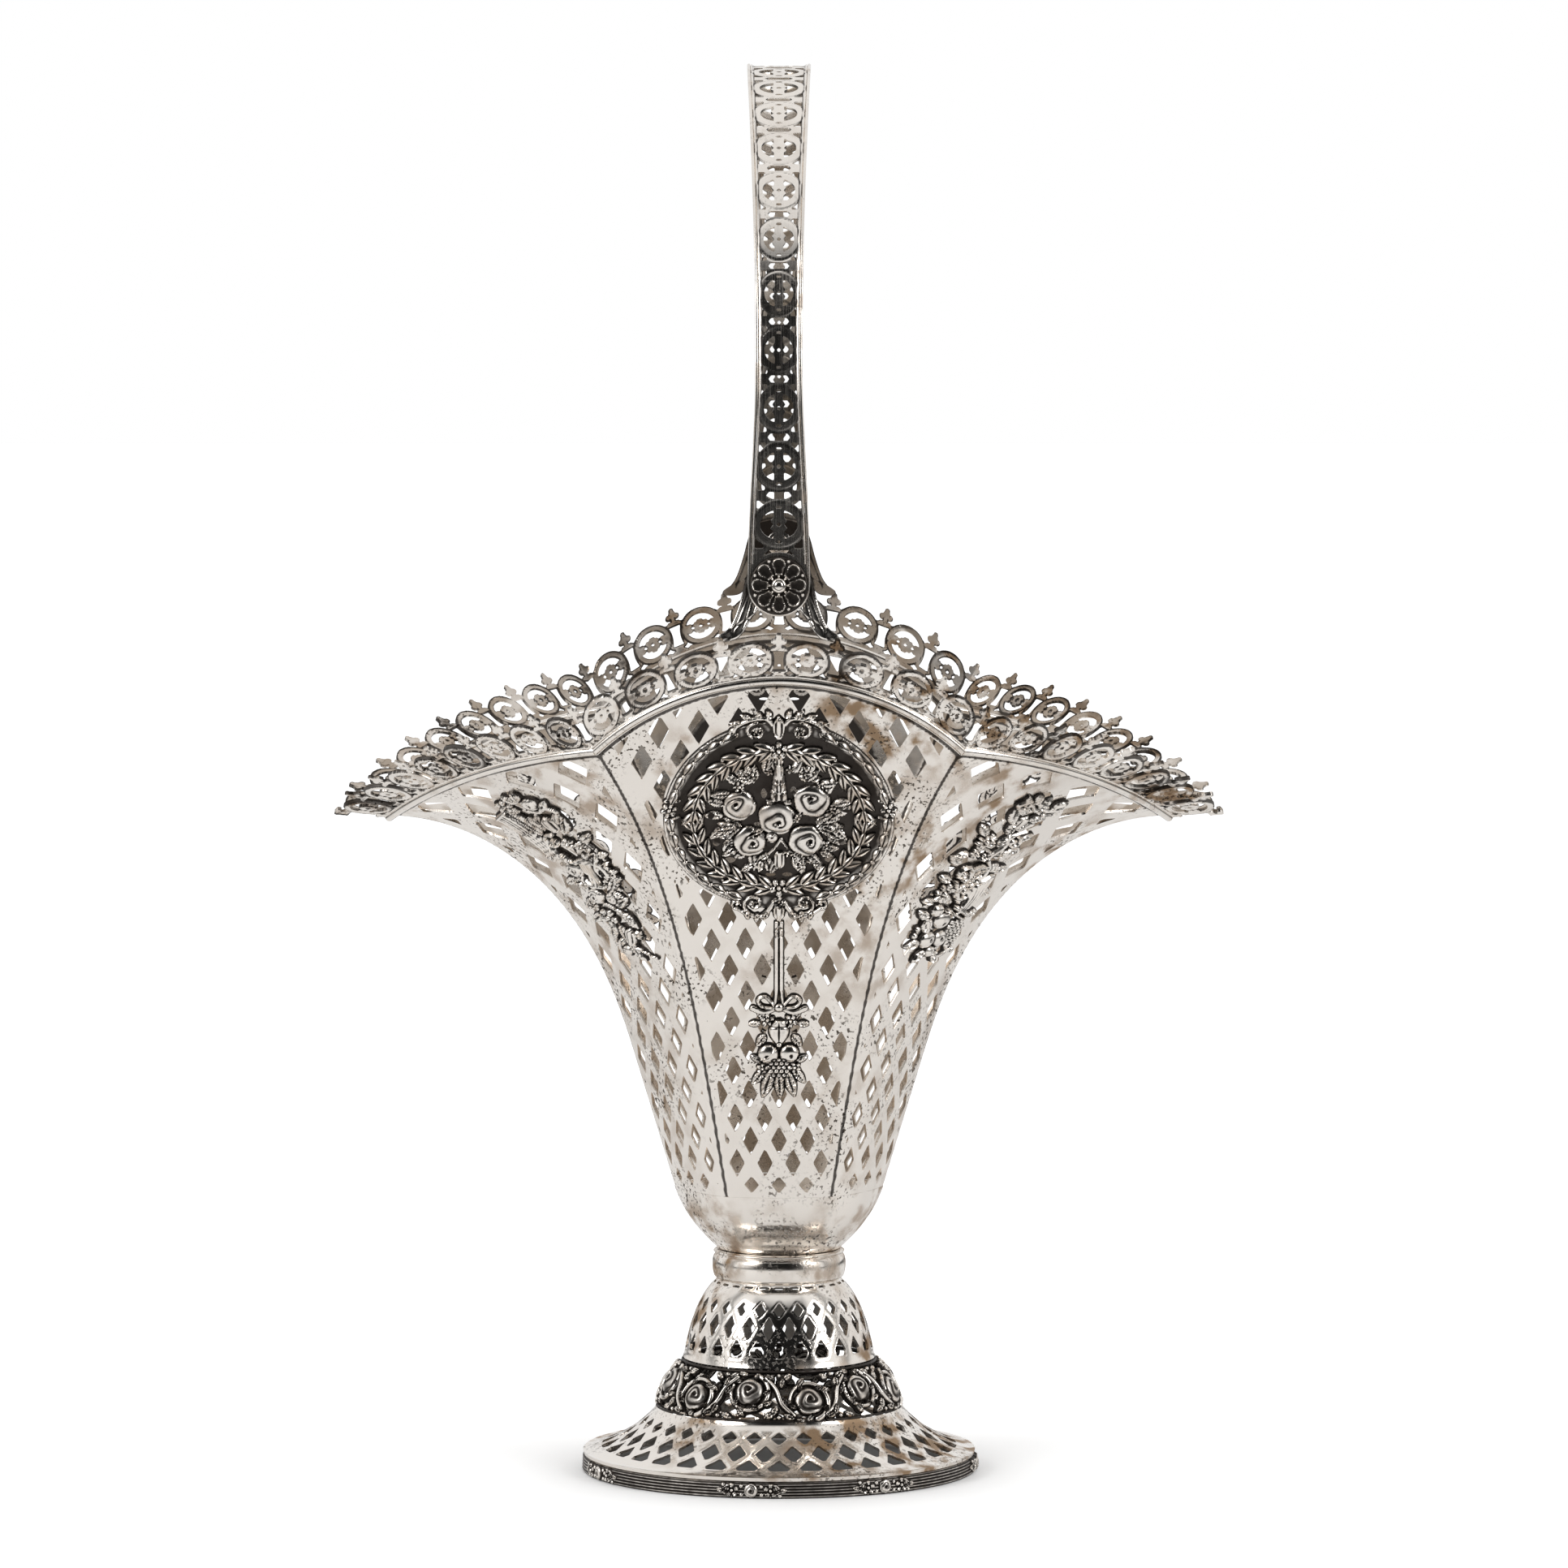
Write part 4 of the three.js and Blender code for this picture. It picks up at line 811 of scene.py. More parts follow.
def dome(share):
    """A round top: 1 in the middle and 0 where share reaches 1."""
    return np.sqrt(np.clip(1 - share ** 2, 0, 1))


print("a ridge at half, once and twice its width:",
      [round(float(ridge(d, 1.0)), 2) for d in (0.5, 1, 2)])

# %% [markdown]
# ## The six panels
# Each panel is one sheet pierced with rows of upright diamonds. A row's pitch grows as the
# panel widens, every second row is shifted by half a pitch, and what would cross the margin
# at a seam, the rim or an applied ornament is cut straight, as on the real sheet.

# %% Diamond lattice of a panel
PITCH_BASE, PITCH_RIM = 8.6, 12.4
SIDE_COLUMNS = 4.2
FIRST_ROW, ROW_RISE, HOLE_WIDTH, HOLE_HEIGHT = 4.4, 0.86, 0.28, 0.56
SEAM_MARGIN, RIM_MARGIN = 2.3, 3.6
NO_HOLE, BLUNT_TIP = -9.0, 0.97
# Half sizes of the opening behind the roundel and of the plain ground that is left round it
# and above and below it.
ROUNDEL_MIDDLE = ROUNDEL_CENTRE + 1.5
OPENING, PLAIN_ROUND, PLAIN_TALL = (33.0, 30.8), (36.8, 34.8), (15.0, 39.0)


def diamond_hole(x, y, wide, tall):
    """Positive inside a diamond with slightly blunted tips, in millimetres."""
    lean = (1 - np.abs(x) / wide - np.abs(y) / tall) * wide * tall / math.hypot(wide, tall)
    return np.minimum(lean, np.minimum(wide * BLUNT_TIP - np.abs(x),
                                       tall * BLUNT_TIP - np.abs(y)))


def panel_top(k):
    return SEAM_LENGTH + (FRONT_ARCH if is_front(k) else SIDE_ARCH)


def lattice_holes(k, X, Y):
    holes = np.full(X.shape, NO_HOLE)
    s, row = FIRST_ROW, 0
    while s < panel_top(k):
        rise = pitch = PITCH_BASE + (PITCH_RIM - PITCH_BASE) * s / SEAM_LENGTH
        x = X
        if not is_front(k):
            pitch = 2 * float(half_width(k, s)) / SIDE_COLUMNS
            x = X * half_width(k, s) / half_width(k, Y)
        shift = pitch / 2 if row % 2 else 0.0
        near = x - (np.round((x - shift) / pitch) * pitch + shift)
        tall = rise * HOLE_HEIGHT * (0.62 if row == 0 else 1.0)
        holes = np.maximum(holes, diamond_hole(near, Y - s, pitch * HOLE_WIDTH, tall))
        s += rise * ROW_RISE
        row += 1
    return holes


def ellipse(X, Y, cx, cy, wide, tall):
    """Positive inside, roughly in millimetres."""
    reach = np.hypot((X - cx) / wide, (Y - cy) / tall)
    return (1 - reach) * min(wide, tall)


def panel_sheet(k):
    high = panel_top(k) + 1
    xs, ys, X, Y = grid_of(float(half_width(k, high)) + 1, 0.0, high, 0.72)
    room = half_width(k, ys)[:, None] * np.ones_like(X)
    rim = rim_line(k, X / room)
    seam = room - np.abs(X)
    outline = np.minimum(seam, rim - 0.15 - Y)
    margins = [room - SEAM_MARGIN - 0.02 * Y - np.abs(X), rim - RIM_MARGIN - Y]
    if is_front(k):
        margins += [-ellipse(X, Y, 0, ROUNDEL_MIDDLE, *PLAIN_ROUND),
                    -ellipse(X, Y, 0, ROUNDEL_CENTRE, *PLAIN_TALL)]
        outline = np.minimum(outline, -ellipse(X, Y, 0, ROUNDEL_MIDDLE, *OPENING))
    holes = np.minimum.reduce([lattice_holes(k, X, Y), *margins])
    field = np.minimum(outline, -holes)
    under_rim = rim - 2.6 - Y
    height = -0.34 * ridge(seam, 0.6) + 0.14 * ridge(seam - 1.5, 0.6)
    height -= 0.3 * ridge(under_rim, 0.6)
    crest = np.clip(0.9 - 1.4 * ridge(seam, 0.62) - 1.4 * ridge(under_rim, 0.7), 0, 1)
    return sheet_mesh("panel_" + PANEL_NAMES[k] + "_sheet", field, xs, ys,
                      lambda *flat_place: bend_on_panel(k, *flat_place), height,
                      values={"crest": crest})


for k, panel_name in enumerate(PANEL_NAMES):
    finish_piece(panel_sheet(k), "panel_" + panel_name, SHEET_SILVER)

# %% [markdown]
# ## Rim moulding
# A half-round wire is soldered over the joint of panel and border. Swept along the rim line
# and sunk halfway into the sheet, a round wire shows exactly that.

# %% Rim mouldings
def rim_moulding(k):
    u = np.linspace(-1, 1, 97)
    runs = []
    for along, lift, radius, sides, crest in ((0.0, 0.35, 1.35, 12, 0.8),
                                              (-1.55, 0.1, 0.42, 6, 0.45),
                                              (1.45, 0.1, 0.42, 6, 0.45)):
        s = rim_line(k, u) + along
        runs.append(wire(on_panel(k, u, s) + thickness_line(k, u, s) * lift,
                         radius, sides, crest))
    return joined("rim_wire_" + PANEL_NAMES[k], runs)


for k, panel_name in enumerate(PANEL_NAMES):
    finish_piece(rim_moulding(k), "moulding_" + panel_name, WIRE_SILVER)
print("rim wires:", len(PANEL_NAMES))

# %% [markdown]
# ## Pierced border
# The border is a strip of stamped cells: an oval ring crossed by a stepped bar, a tall slot on
# either side of it, and a knob of four lobes standing on the edge between two ovals. One cell
# is written as a field of a place across and a place outwards; the strip repeats it.

# %% Border cell and border strips
CELL, CELLS_PER_PANEL = 16.0, 8
OVAL_CENTRE, SLOT_CENTRE = 7.9, 7.2
TIP_KNOB, TIP_END = 2.4, 14.7


def border_cell(p, w):
    """Metal of one border cell; p runs across from -8 to 8, w outwards from the rim."""
    side, up = np.abs(p), w - OVAL_CENTRE
    edge = CELL / 2 - side
    oval = ellipse(p, w, 0, OVAL_CENTRE, 6.5, 6.6)
    hollow = ellipse(p, w, 0, OVAL_CENTRE, 4.7, 4.75)
    stair = np.select([side < 0.9, side < 2.0, side < 3.1], [2.45, 1.8, 1.15], 1.5)
    beside_bar = np.minimum(hollow, np.abs(up) - stair)
    dots = np.maximum(0.62 - np.hypot(p, up), diamond_hole(side - 2.5, up, 0.75, 0.75))
    level = np.abs(w - SLOT_CENTRE)
    slot = np.minimum(1.25 + 0.55 * np.clip(level / 3.4, 0, 1) ** 2 - edge, 3.7 - level)
    foot_hole = diamond_hole(side - 5.3, w - 2.3, 1.25, 0.9)
    shoulder = diamond_hole(side - 5.6, w - 12.6, 0.9, 0.8)
    strap = np.minimum(2.9 - edge, 12.6 - w)
    band = np.minimum(2.0 - w, w + 0.3)
    lobes = [1.05 - np.hypot(edge, w - 15.4), 0.95 - np.hypot(edge - 1.2, w - 14.3),
             np.minimum(0.75 - edge, 15.5 - w), 0.75 - np.hypot(edge, w - 16.6)]
    metal = np.maximum.reduce([oval, strap, band, *lobes])
    holes = np.maximum.reduce([beside_bar, dots, slot, foot_hole, shoulder])
    return np.minimum(metal, -holes)


def border_strip(k, first, last, name):
    """first and last say which part of the panel's eight cells the strip covers."""
    step = 0.46
    low, high = first * CELL, last * CELL
    xs = np.linspace(low, high, int(round((high - low) / step)) + 1)
    ys = np.arange(-0.2, 17.6, step)
    X, Y = np.meshgrid(xs, ys)
    p = (X % CELL) - CELL / 2
    field = np.minimum(border_cell(p, Y), Y + 0.1)
    if TIP_SIDE[k]:
        # At the basket's two tips the last knob is worn short.
        from_tip = CELLS_PER_PANEL * CELL - X if TIP_SIDE[k] > 0 else X
        field = np.where(from_tip < TIP_KNOB, np.minimum(field, TIP_END - Y), field)
    bead = 0.26 * ridge(field - 0.45, 0.32)
    pillow = 0.15 * np.clip(field, 0, 1.2)
    wobble = 0.3 * np.sin(X * 0.39 + k * 2.1) * np.clip(Y / 16, 0, 1)
    groove = 0.3 * ridge(ellipse(p, Y, 0, OVAL_CENTRE, 5.5, 5.6) + 0.85, 0.3)
    # The sine terms make broad darker and lighter stretches of oxide along the border: partly
    # tarnish, partly painted dark reflections.
    crest = np.clip(0.7 + 0.7 * bead - 2.3 * groove - 0.4 * ridge(field, 0.2)
                    + 0.32 * np.sin(X * 0.21 + k) * np.sin(X * 0.093 + 2 * k), 0, 1)

    def place(x, w, raised):
        u = 2 * x / (CELLS_PER_PANEL * CELL) - 1
        s = rim_line(k, u) + 0.15 + w * border_width(k, u) / BORDER_WIDTH
        return on_panel(k, u, s) + thickness_line(k, u, s) * raised[..., None]

    strip = sheet_mesh("rim_lace_" + name, field, xs, ys, place,
                       bead + pillow + wobble - groove, values={"crest": crest})
    finish_piece(strip, "border_" + name, BORDER_SILVER)


for k, panel_name in enumerate(PANEL_NAMES):
    if is_front(k):
        # The strip on a wide panel is joined in the middle, under the handle's bracket.
        border_strip(k, 0, CELLS_PER_PANEL // 2, panel_name + "_a")
        border_strip(k, CELLS_PER_PANEL // 2, CELLS_PER_PANEL, panel_name + "_b")
    else:
        border_strip(k, 0, CELLS_PER_PANEL, panel_name)

# %% [markdown]
# ## Rings of the foot
# Every part of the foot is a ring pressed to a curved profile. The profile is a smooth curve
# of radius and height; a pattern drawn flat is laid on it by its length up the profile.

# %% Profiles and rings
PROFILE_POINTS = 240


def profile_of(corners):
    """A smooth curve through radius and height, read by the length along it."""
    t = np.linspace(0, 1, PROFILE_POINTS)[:, None]
    a, b, c, d = [np.array(p, float) for p in corners]
    line = a * (1 - t) ** 3 + 3 * b * t * (1 - t) ** 2 + 3 * c * t * t * (1 - t) + d * t ** 3
    gone = np.concatenate([[0], np.cumsum(np.linalg.norm(np.diff(line, axis=0), axis=1))])
    slope = np.gradient(line, gone, axis=0)

    def at(s):
        r, z = np.interp(s, gone, line[:, 0]), np.interp(s, gone, line[:, 1])
        return r, z, np.interp(s, gone, slope[:, 1]), -np.interp(s, gone, slope[:, 0])

    return at, float(gone[-1])


def round_axis(reach, angle, z):
    return np.stack([reach * np.cos(angle), reach * np.sin(angle), z], -1)


def even_angles(count):
    return np.arange(count) * 2 * math.pi / count


def ring_place(profile, reference):
    def place(x, s, raised):
        r, z, out, up = profile(s)
        return round_axis(r + raised * out, x / reference - math.pi / 2, z + raised * up)

    return place


def ring_piece(name, profile, length, columns, draw, step):
    """One cell, drawn by draw(x, y, pitch), repeated round the axis by the ring tree."""
    reference = float(profile(length / 2)[0])
    pitch = 2 * math.pi * reference / columns
    xs = np.linspace(-pitch / 2, pitch / 2, int(round(pitch / step)) + 1)
    ys = np.linspace(0, length, int(round(length / step)) + 1)
    X, Y = np.meshgrid(xs, ys)
    true_width = profile(Y)[0] / reference
    field, height, crest = draw(X * true_width, Y, pitch * true_width)
    cell = sheet_mesh("cell", field, xs, ys, ring_place(profile, reference), height,
                      values={"crest": crest}, open_sides=True)
    return joined(name, [ring_of(cell, columns)])


def turned(profile, facets=144):
    """A ring or solid swept round the axis by a closed profile of radius and height."""
    points = np.array(profile, float)
    count = len(points)
    angles = even_angles(facets)[:, None]
    places = round_axis(points[:, 0], angles, np.broadcast_to(points[:, 1], (facets, count)))
    places = places.reshape(-1, 3)
    i, k = np.meshgrid(np.arange(facets), np.arange(count), indexing="ij")
    j, m = (i + 1) % facets, (k + 1) % count
    here, ahead, across, above = (a * count + b for a, b in ((i, k), (j, k), (j, m), (i, m)))
    faces = np.stack([here, ahead, across, here, across, above], -1).reshape(-1, 3)
    # Where the profile lies on the axis the triangles have no area and are left out.
    a, b, c = (places[faces[:, corner]] for corner in range(3))
    faces = faces[np.linalg.norm(np.cross(b - a, c - a), axis=1) > 1e-9]
    return places, faces, np.full(len(places), 0.8)


def smooth_line(points, steps):
    """A rounded version of a coarse profile, by a curve through its points."""
    points = np.array(points, float)
    fine = np.linspace(0, len(points) - 1, (len(points) - 1) * steps + 1)
    k = np.minimum(fine.astype(int), len(points) - 2)
    f = (fine - k)[:, None]
    padded = np.concatenate([points[:1], points, points[-1:]])
    a, b, c, d = (padded[k + shift] for shift in range(4))
    return 0.5 * (2 * b + (c - a) * f + (2 * a - 5 * b + 4 * c - d) * f ** 2
                  + (3 * b - a - 3 * c + d) * f ** 3)


print("profile tools ready")

# %% [markdown]
# ## Stamps
# The flowers were struck with steel dies. Each stamp below is one die: a small formula that
# gives a height and an outline in its own place. A plate collects stamps, keeps the highest
# metal where they cross, and leaves the ground dark between them.

# %% Stamps and plates
# Metal left round each stamp, and how far from its place the largest one reaches.
STAMP_MARGIN, STAMP_REACH = 0.3, 17.0


def within_length(p, length, edge):
    return np.where((p > 0) & (p < length), edge, -1.0)


def leaf(length, width, tall):
    def shape(p, q):
        t = np.clip(p / length, 0, 1)
        half = width * np.sin(math.pi * t ** 0.8) ** 0.8 + 1e-3
        rib = 0.45 * ridge(q, 0.13 * width + 0.06)
        veins = 0.16 * np.sin((p + np.abs(q) * 1.3) * 6.5)
        return (tall * (0.35 + 0.65 * dome(q / half) - rib + veins),
                within_length(p, length, half - np.abs(q)))
    return shape


def rose(radius, tall, eye=(0.0, 0.0), turns=3.1):
    """Petals wound in a spiral round an eye that may sit off the middle."""
    def shape(p, q):
        r = np.hypot(p, q) / radius
        around = np.arctan2(q, p)
        inner = np.clip(1 - r, 0, 1)
        ep, eq = p / radius - eye[0] * inner, q / radius - eye[1] * inner
        er, ea = np.hypot(ep, eq), np.arctan2(eq, ep)
        whorl = turns * er ** 0.5 - ea / (2 * math.pi) + 0.12 * np.cos(3 * ea)
        fold = np.abs(np.sin(math.pi * whorl)) ** 0.4
        bulge = np.sqrt(np.clip(1 - 0.85 * r * r, 0, 1))
        lobes = 1 + 0.05 * np.cos(5 * around + 1)
        return tall * bulge * (0.66 + 0.34 * fold - 0.5 * ridge(er, 0.13)), (lobes - r) * radius
    return shape


def flower(radius, tall, petals=5):
    def shape(p, q):
        r, around = np.hypot(p, q), np.arctan2(q, p)
        lobe = np.abs(np.cos(petals * around / 2)) ** 0.6
        reach = radius * (0.5 + 0.5 * lobe)
        petal = tall * (0.3 + 0.6 * lobe * np.sqrt(dome(r / reach))
                        - 0.25 * ridge(r / radius - 0.62, 0.14))
        heart = 0.27 * radius
        ditch = 1 - 0.75 * ridge(r - heart * 1.15, 0.09 * radius)
        return np.maximum(petal * ditch, tall * 1.05 * dome(r / heart)), reach - r
    return shape


def bead(radius, tall):
    def shape(p, q):
        r = np.hypot(p, q)
        return tall * dome(r / radius), radius - r
    return shape


def fruit(radius, tall):
    def shape(p, q):
        r = np.hypot(p, q) / radius
        navel = 0.45 * tall * ridge(np.hypot(p + 0.25 * radius, q), 0.16 * radius)
        return tall * dome(r) - navel, (1 - r) * radius
    return shape


def bud(length, width, tall):
    """Three petals closing to a tip, base at the origin."""
    def shape(p, q):
        t = np.clip(p / length, 0, 1)
        half = width * (0.45 + 0.55 * np.sin(math.pi * np.clip(t * 1.05, 0, 1)) ** 0.7)
        half = half * np.clip((1.02 - t) * 4, 0, 1) ** 0.5
        fold = ridge(np.abs(q) - 0.42 * half, 0.12 * width + 0.05) * (t > 0.15)
        return (tall * (0.3 + 0.7 * dome(q / (half + 1e-3)) - 0.4 * fold),
                within_length(p, length, half - np.abs(q)))
    return shape


def turn_flat(x, y, degrees):
    c, s = math.cos(math.radians(degrees)), math.sin(math.radians(degrees))
    return x * c - y * s, x * s + y * c


class Plate:
    """A flat relief: heights above a ground and the outline of the metal, on a grid."""

    def __init__(self, wide, low, high, step, ground):
        self.step, self.ground = step, ground
        self.xs, self.ys, self.X, self.Y = grid_of(wide, low, high, step)
        self.height = np.full(self.X.shape, ground)
        self.metal = np.full(self.X.shape, -1.0)

    def window(self, x, y, reach):
        i = np.searchsorted(self.xs, [x - reach, x + reach])
        j = np.searchsorted(self.ys, [y - reach, y + reach])
        return slice(max(0, j[0] - 1), j[1] + 1), slice(max(0, i[0] - 1), i[1] + 1)

    def press(self, x, y, shape, turn=0.0):
        """Strikes one stamp with its own axis turned by degrees."""
        part = self.window(x, y, STAMP_REACH)
        tall, edge = shape(*turn_flat(self.X[part] - x, self.Y[part] - y, -turn))
        raised = self.ground + tall
        rounded = np.maximum(self.height[part] * 0.6, raised * 0.6)
        self.height[part] = np.where(edge > 0.18, raised, np.where(
            edge > 0, rounded, self.height[part]))
        self.metal[part] = np.maximum(self.metal[part], edge + STAMP_MARGIN)

    def trace(self, points, width, tall, flat=0.0, margin=STAMP_MARGIN):
        """A raised line along points; width may narrow to the second value at its end."""
        points = np.array(points, float)
        wide = np.linspace(*(width if isinstance(width, tuple) else (width, width)),
                           len(points))
        for a, b, start, end in zip(points, points[1:], wide, wide[1:]):
            middle, reach = (a + b) / 2, np.linalg.norm(b - a) / 2 + start + 0.8
            part = self.window(middle[0], middle[1], reach)
            dx, dy = self.X[part] - a[0], self.Y[part] - a[1]
            run = b - a
            t = np.clip((dx * run[0] + dy * run[1]) / max(run @ run, 1e-9), 0, 1)
            d = np.hypot(dx - t * run[0], dy - t * run[1])
            half = start + (end - start) * t
            raised = self.ground + tall * (flat + (1 - flat) * dome(d / half))
            self.height[part] = np.where(d < half, np.maximum(self.height[part], raised),
                                         self.height[part])
            self.metal[part] = np.maximum(self.metal[part], half - d + margin)

    def scroll(self, x, y, start, turns, radius, width, tall):
        """A volute that winds in; start in degrees, turns negative for clockwise."""
        t = np.linspace(0, 1, 26)
        angle = math.radians(start) + turns * 2 * math.pi * t
        r = radius * (1 - t) ** 0.75 + 0.12 * radius
        self.trace(np.stack([x + r * np.cos(angle), y + r * np.sin(angle)], -1),
                   (width, width * 0.7), tall)
        self.press(x, y, bead(width * 1.25, tall * 1.05))

    def grapes(self, x, y, rows, size, turn=0.0):
        for row, count in enumerate(rows):
            for k in range(count):
                dx, dy = turn_flat((k - (count - 1) / 2) * size * 1.9, -row * size * 1.55, turn)
                self.press(x + dx, y + dy, bead(size, size * 1.1))

    def spray(self, x, y, turn, count, length, width, tall, spread):
        """A fan of leaves out of one place."""
        for k in range(count):
            off = k - (count - 1) / 2
            self.press(x, y, leaf(length * (1 - 0.12 * abs(off)), width, tall),
                       turn + off * spread)

    def crest(self):
        ground = np.clip(1 - (self.height - self.ground) / 0.4, 0, 1)
        return np.clip(crest_of(self.height, self.step) - 0.30 * ground, 0, 1)

    def part(self, place, back):
        """The finished relief, bent by place, as (places, faces, crest)."""
        sheet = sheet_mesh("plate", self.metal, self.xs, self.ys, place, self.height,
                           {"crest": self.crest()}, back)
        made = mesh_part(sheet.data)
        discard(sheet)
        return made


def arc(x, y, radius, start, end, count, tall=1.0):
    angles = np.radians(np.linspace(start, end, count))
    return np.stack([x + radius * np.cos(angles), y + radius * tall * np.sin(angles)], -1)


def bow(*corners, count=16):
    """A smooth curve through a few places."""
    return smooth_line(corners, max(2, count // (len(corners) - 1)))


print("stamps ready")

# %% [markdown]
# ## The round foot
# From the table up: a reeded rim with flower clusters, a wide pierced skirt, a pierced
# band of roses, and a pierced dome under the collar. The pierced parts repeat one column.

# %% Foot rim
REED_RADIUS, REED_SIZE, REED_HEIGHT, REED_LEAN, REEDS = 62.76, 0.52, 0.94, 0.045, 5
CLUSTER_AZIMUTHS = (-65, -8, 32, 85, 135, 190, 243)


def flower_cluster():
    plate = Plate(12.5, 0.1, 5.0, 0.22, 0.1)
    for x, turn in ((-11.5, 0), (11.5, 180), (-9.6, 28), (9.6, 152), (-9.6, -28), (9.6, -152)):
        plate.press(x, 2.6, leaf(4.6, 0.95, 0.8), turn)
    for x, kind in ((-6.2, flower(2.4, 1.2)), (0, rose(2.35, 1.4)), (6.2, flower(2.4, 1.2))):
        plate.press(x, 2.55, kind, 18)
    for x, y in ((-3.2, 3.9), (-3.1, 1.3), (3.2, 3.8), (3.3, 1.2), (-9, 4.3), (9.1, 0.9)):
        plate.press(x, y, bead(0.75, 0.8))
    return plate


def foot_rim():
    parts = [turned([(61.5, 0), (62.7, 0), (62.9, 0.25), (62.5, 5.0), (61.2, 5.9),
                     (60.3, 5.4), (60.3, 4.6), (61.5, 4.2)])]
    angles = even_angles(160)
    for k in range(REEDS):
        ring = round_axis(REED_RADIUS - REED_LEAN * k, angles,
                          np.full(160, 0.62 + REED_HEIGHT * k))
        places, faces, _ = wire(ring, REED_SIZE, 12, closed=True)
        out = np.hypot(places[:, 0], places[:, 1]) - REED_RADIUS + REED_LEAN * k
        parts.append((places, faces, 0.88 * np.clip(out / REED_SIZE, 0, 1) ** 4))
    cluster = flower_cluster()
    for azimuth in CLUSTER_AZIMUTHS:
        start = np.radians(azimuth - 90)
        parts.append(cluster.part(lambda x, z, raised: round_axis(
            62.9 + raised, start + x / 63.2, z), -0.6))
    return joined("reeded_rim", parts, 50)


finish_piece(foot_rim(), "foot_rim", FOOT_RELIEF)

# %% Pierced skirt and dome
def row_hole(x, y, pitch, centre, wide, low, high, shifted=False, flat_foot=False):
    """A hole of one row, wide as a share of the pitch; low and high are its half heights."""
    across = np.abs(x) - pitch / 2 if shifted else x
    up = y - centre
    tall = np.where(up > 0, high, low)
    lean = 1 - np.abs(across) / (wide * pitch) - np.abs(up) / tall
    hole = lean * wide * pitch * tall / np.hypot(wide * pitch, tall)
    if flat_foot:
        hole = np.where(up < 0, wide * pitch * (1 - 0.28 * -up / low) - np.abs(across), hole)
    return np.minimum(hole, np.minimum(up + low * 0.86, high * 0.9 - up))


def pierced(y, length, holes):
    """Metal, height and crest of a plain pierced ring: lips at both edges, a bevel at holes."""
    hole = np.maximum.reduce(holes)
    lips = 0.25 * ridge(y, 0.7) + 0.25 * ridge(length - y, 0.7)
    return -hole, lips - 0.12 * ridge(hole + 0.25, 0.28), np.full(y.shape, 0.85)


def draw_skirt(x, y, pitch):
    return pierced(y, SKIRT_LENGTH, [
        row_hole(x, y, pitch, 8.0, 0.36, 2.3, 4.6, flat_foot=True),
        row_hole(x, y, pitch, 15.2, 0.36, 4.3, 4.2, shifted=True),
        row_hole(x, y, pitch, 22.2, 0.34, 2.9, 2.6)])


def draw_dome(x, y, pitch):
    return pierced(y, DOME_LENGTH, [
        row_hole(x, y, pitch, 5.3, 0.33, 2.4, 4.0, flat_foot=True),
        row_hole(x, y, pitch, 12.9, 0.34, 4.3, 4.1, shifted=True),
        row_hole(x, y, pitch, 19.0, 0.30, 2.8, 2.6),
        np.minimum(0.30 * pitch - np.abs(x), 0.42 - np.abs(y - DOME_LENGTH + 1.5))])


SKIRT, SKIRT_LENGTH = profile_of([(62.9, 6.3), (52.5, 8), (43.3, 15.1), (39.4, 20.45)])
BAND, BAND_LENGTH = profile_of([(39.5, 20.75), (37.8, 26.8), (34.1, 32.3), (31.0, 36.05)])
DOME, DOME_LENGTH = profile_of([(30.7, 36.5), (28.8, 47.8), (25.6, 56.8), (19.6, 62)])
skirt = ring_piece("pierced_skirt", SKIRT, SKIRT_LENGTH, 34, draw_skirt, 0.62)
finish_piece(skirt, "foot_skirt", FOOT_SILVER)
bell = ring_piece("pierced_dome", DOME, DOME_LENGTH, 26, draw_dome, 0.5)
finish_piece(bell, "foot_dome", FOOT_SILVER)
print("skirt and dome:", len(skirt.data.polygons), len(bell.data.polygons), "triangles",
      "profile lengths", round(SKIRT_LENGTH, 1), round(BAND_LENGTH, 1), round(DOME_LENGTH, 1))

# %% Rose band
BAND_CELLS, BAND_MIDDLE, BAND_EDGE = 6, 8.3, 0.8


def ring_of_leaves(plate, x, y, radius, angles, shape, lean, flip=1):
    """Leaves set round a place, each leaning away from its own spoke by lean degrees."""
    for angle in angles:
        a = math.radians(angle * flip)
        plate.press(x + radius * math.cos(a), y + radius * math.sin(a), shape,
                    (angle + lean) * flip)


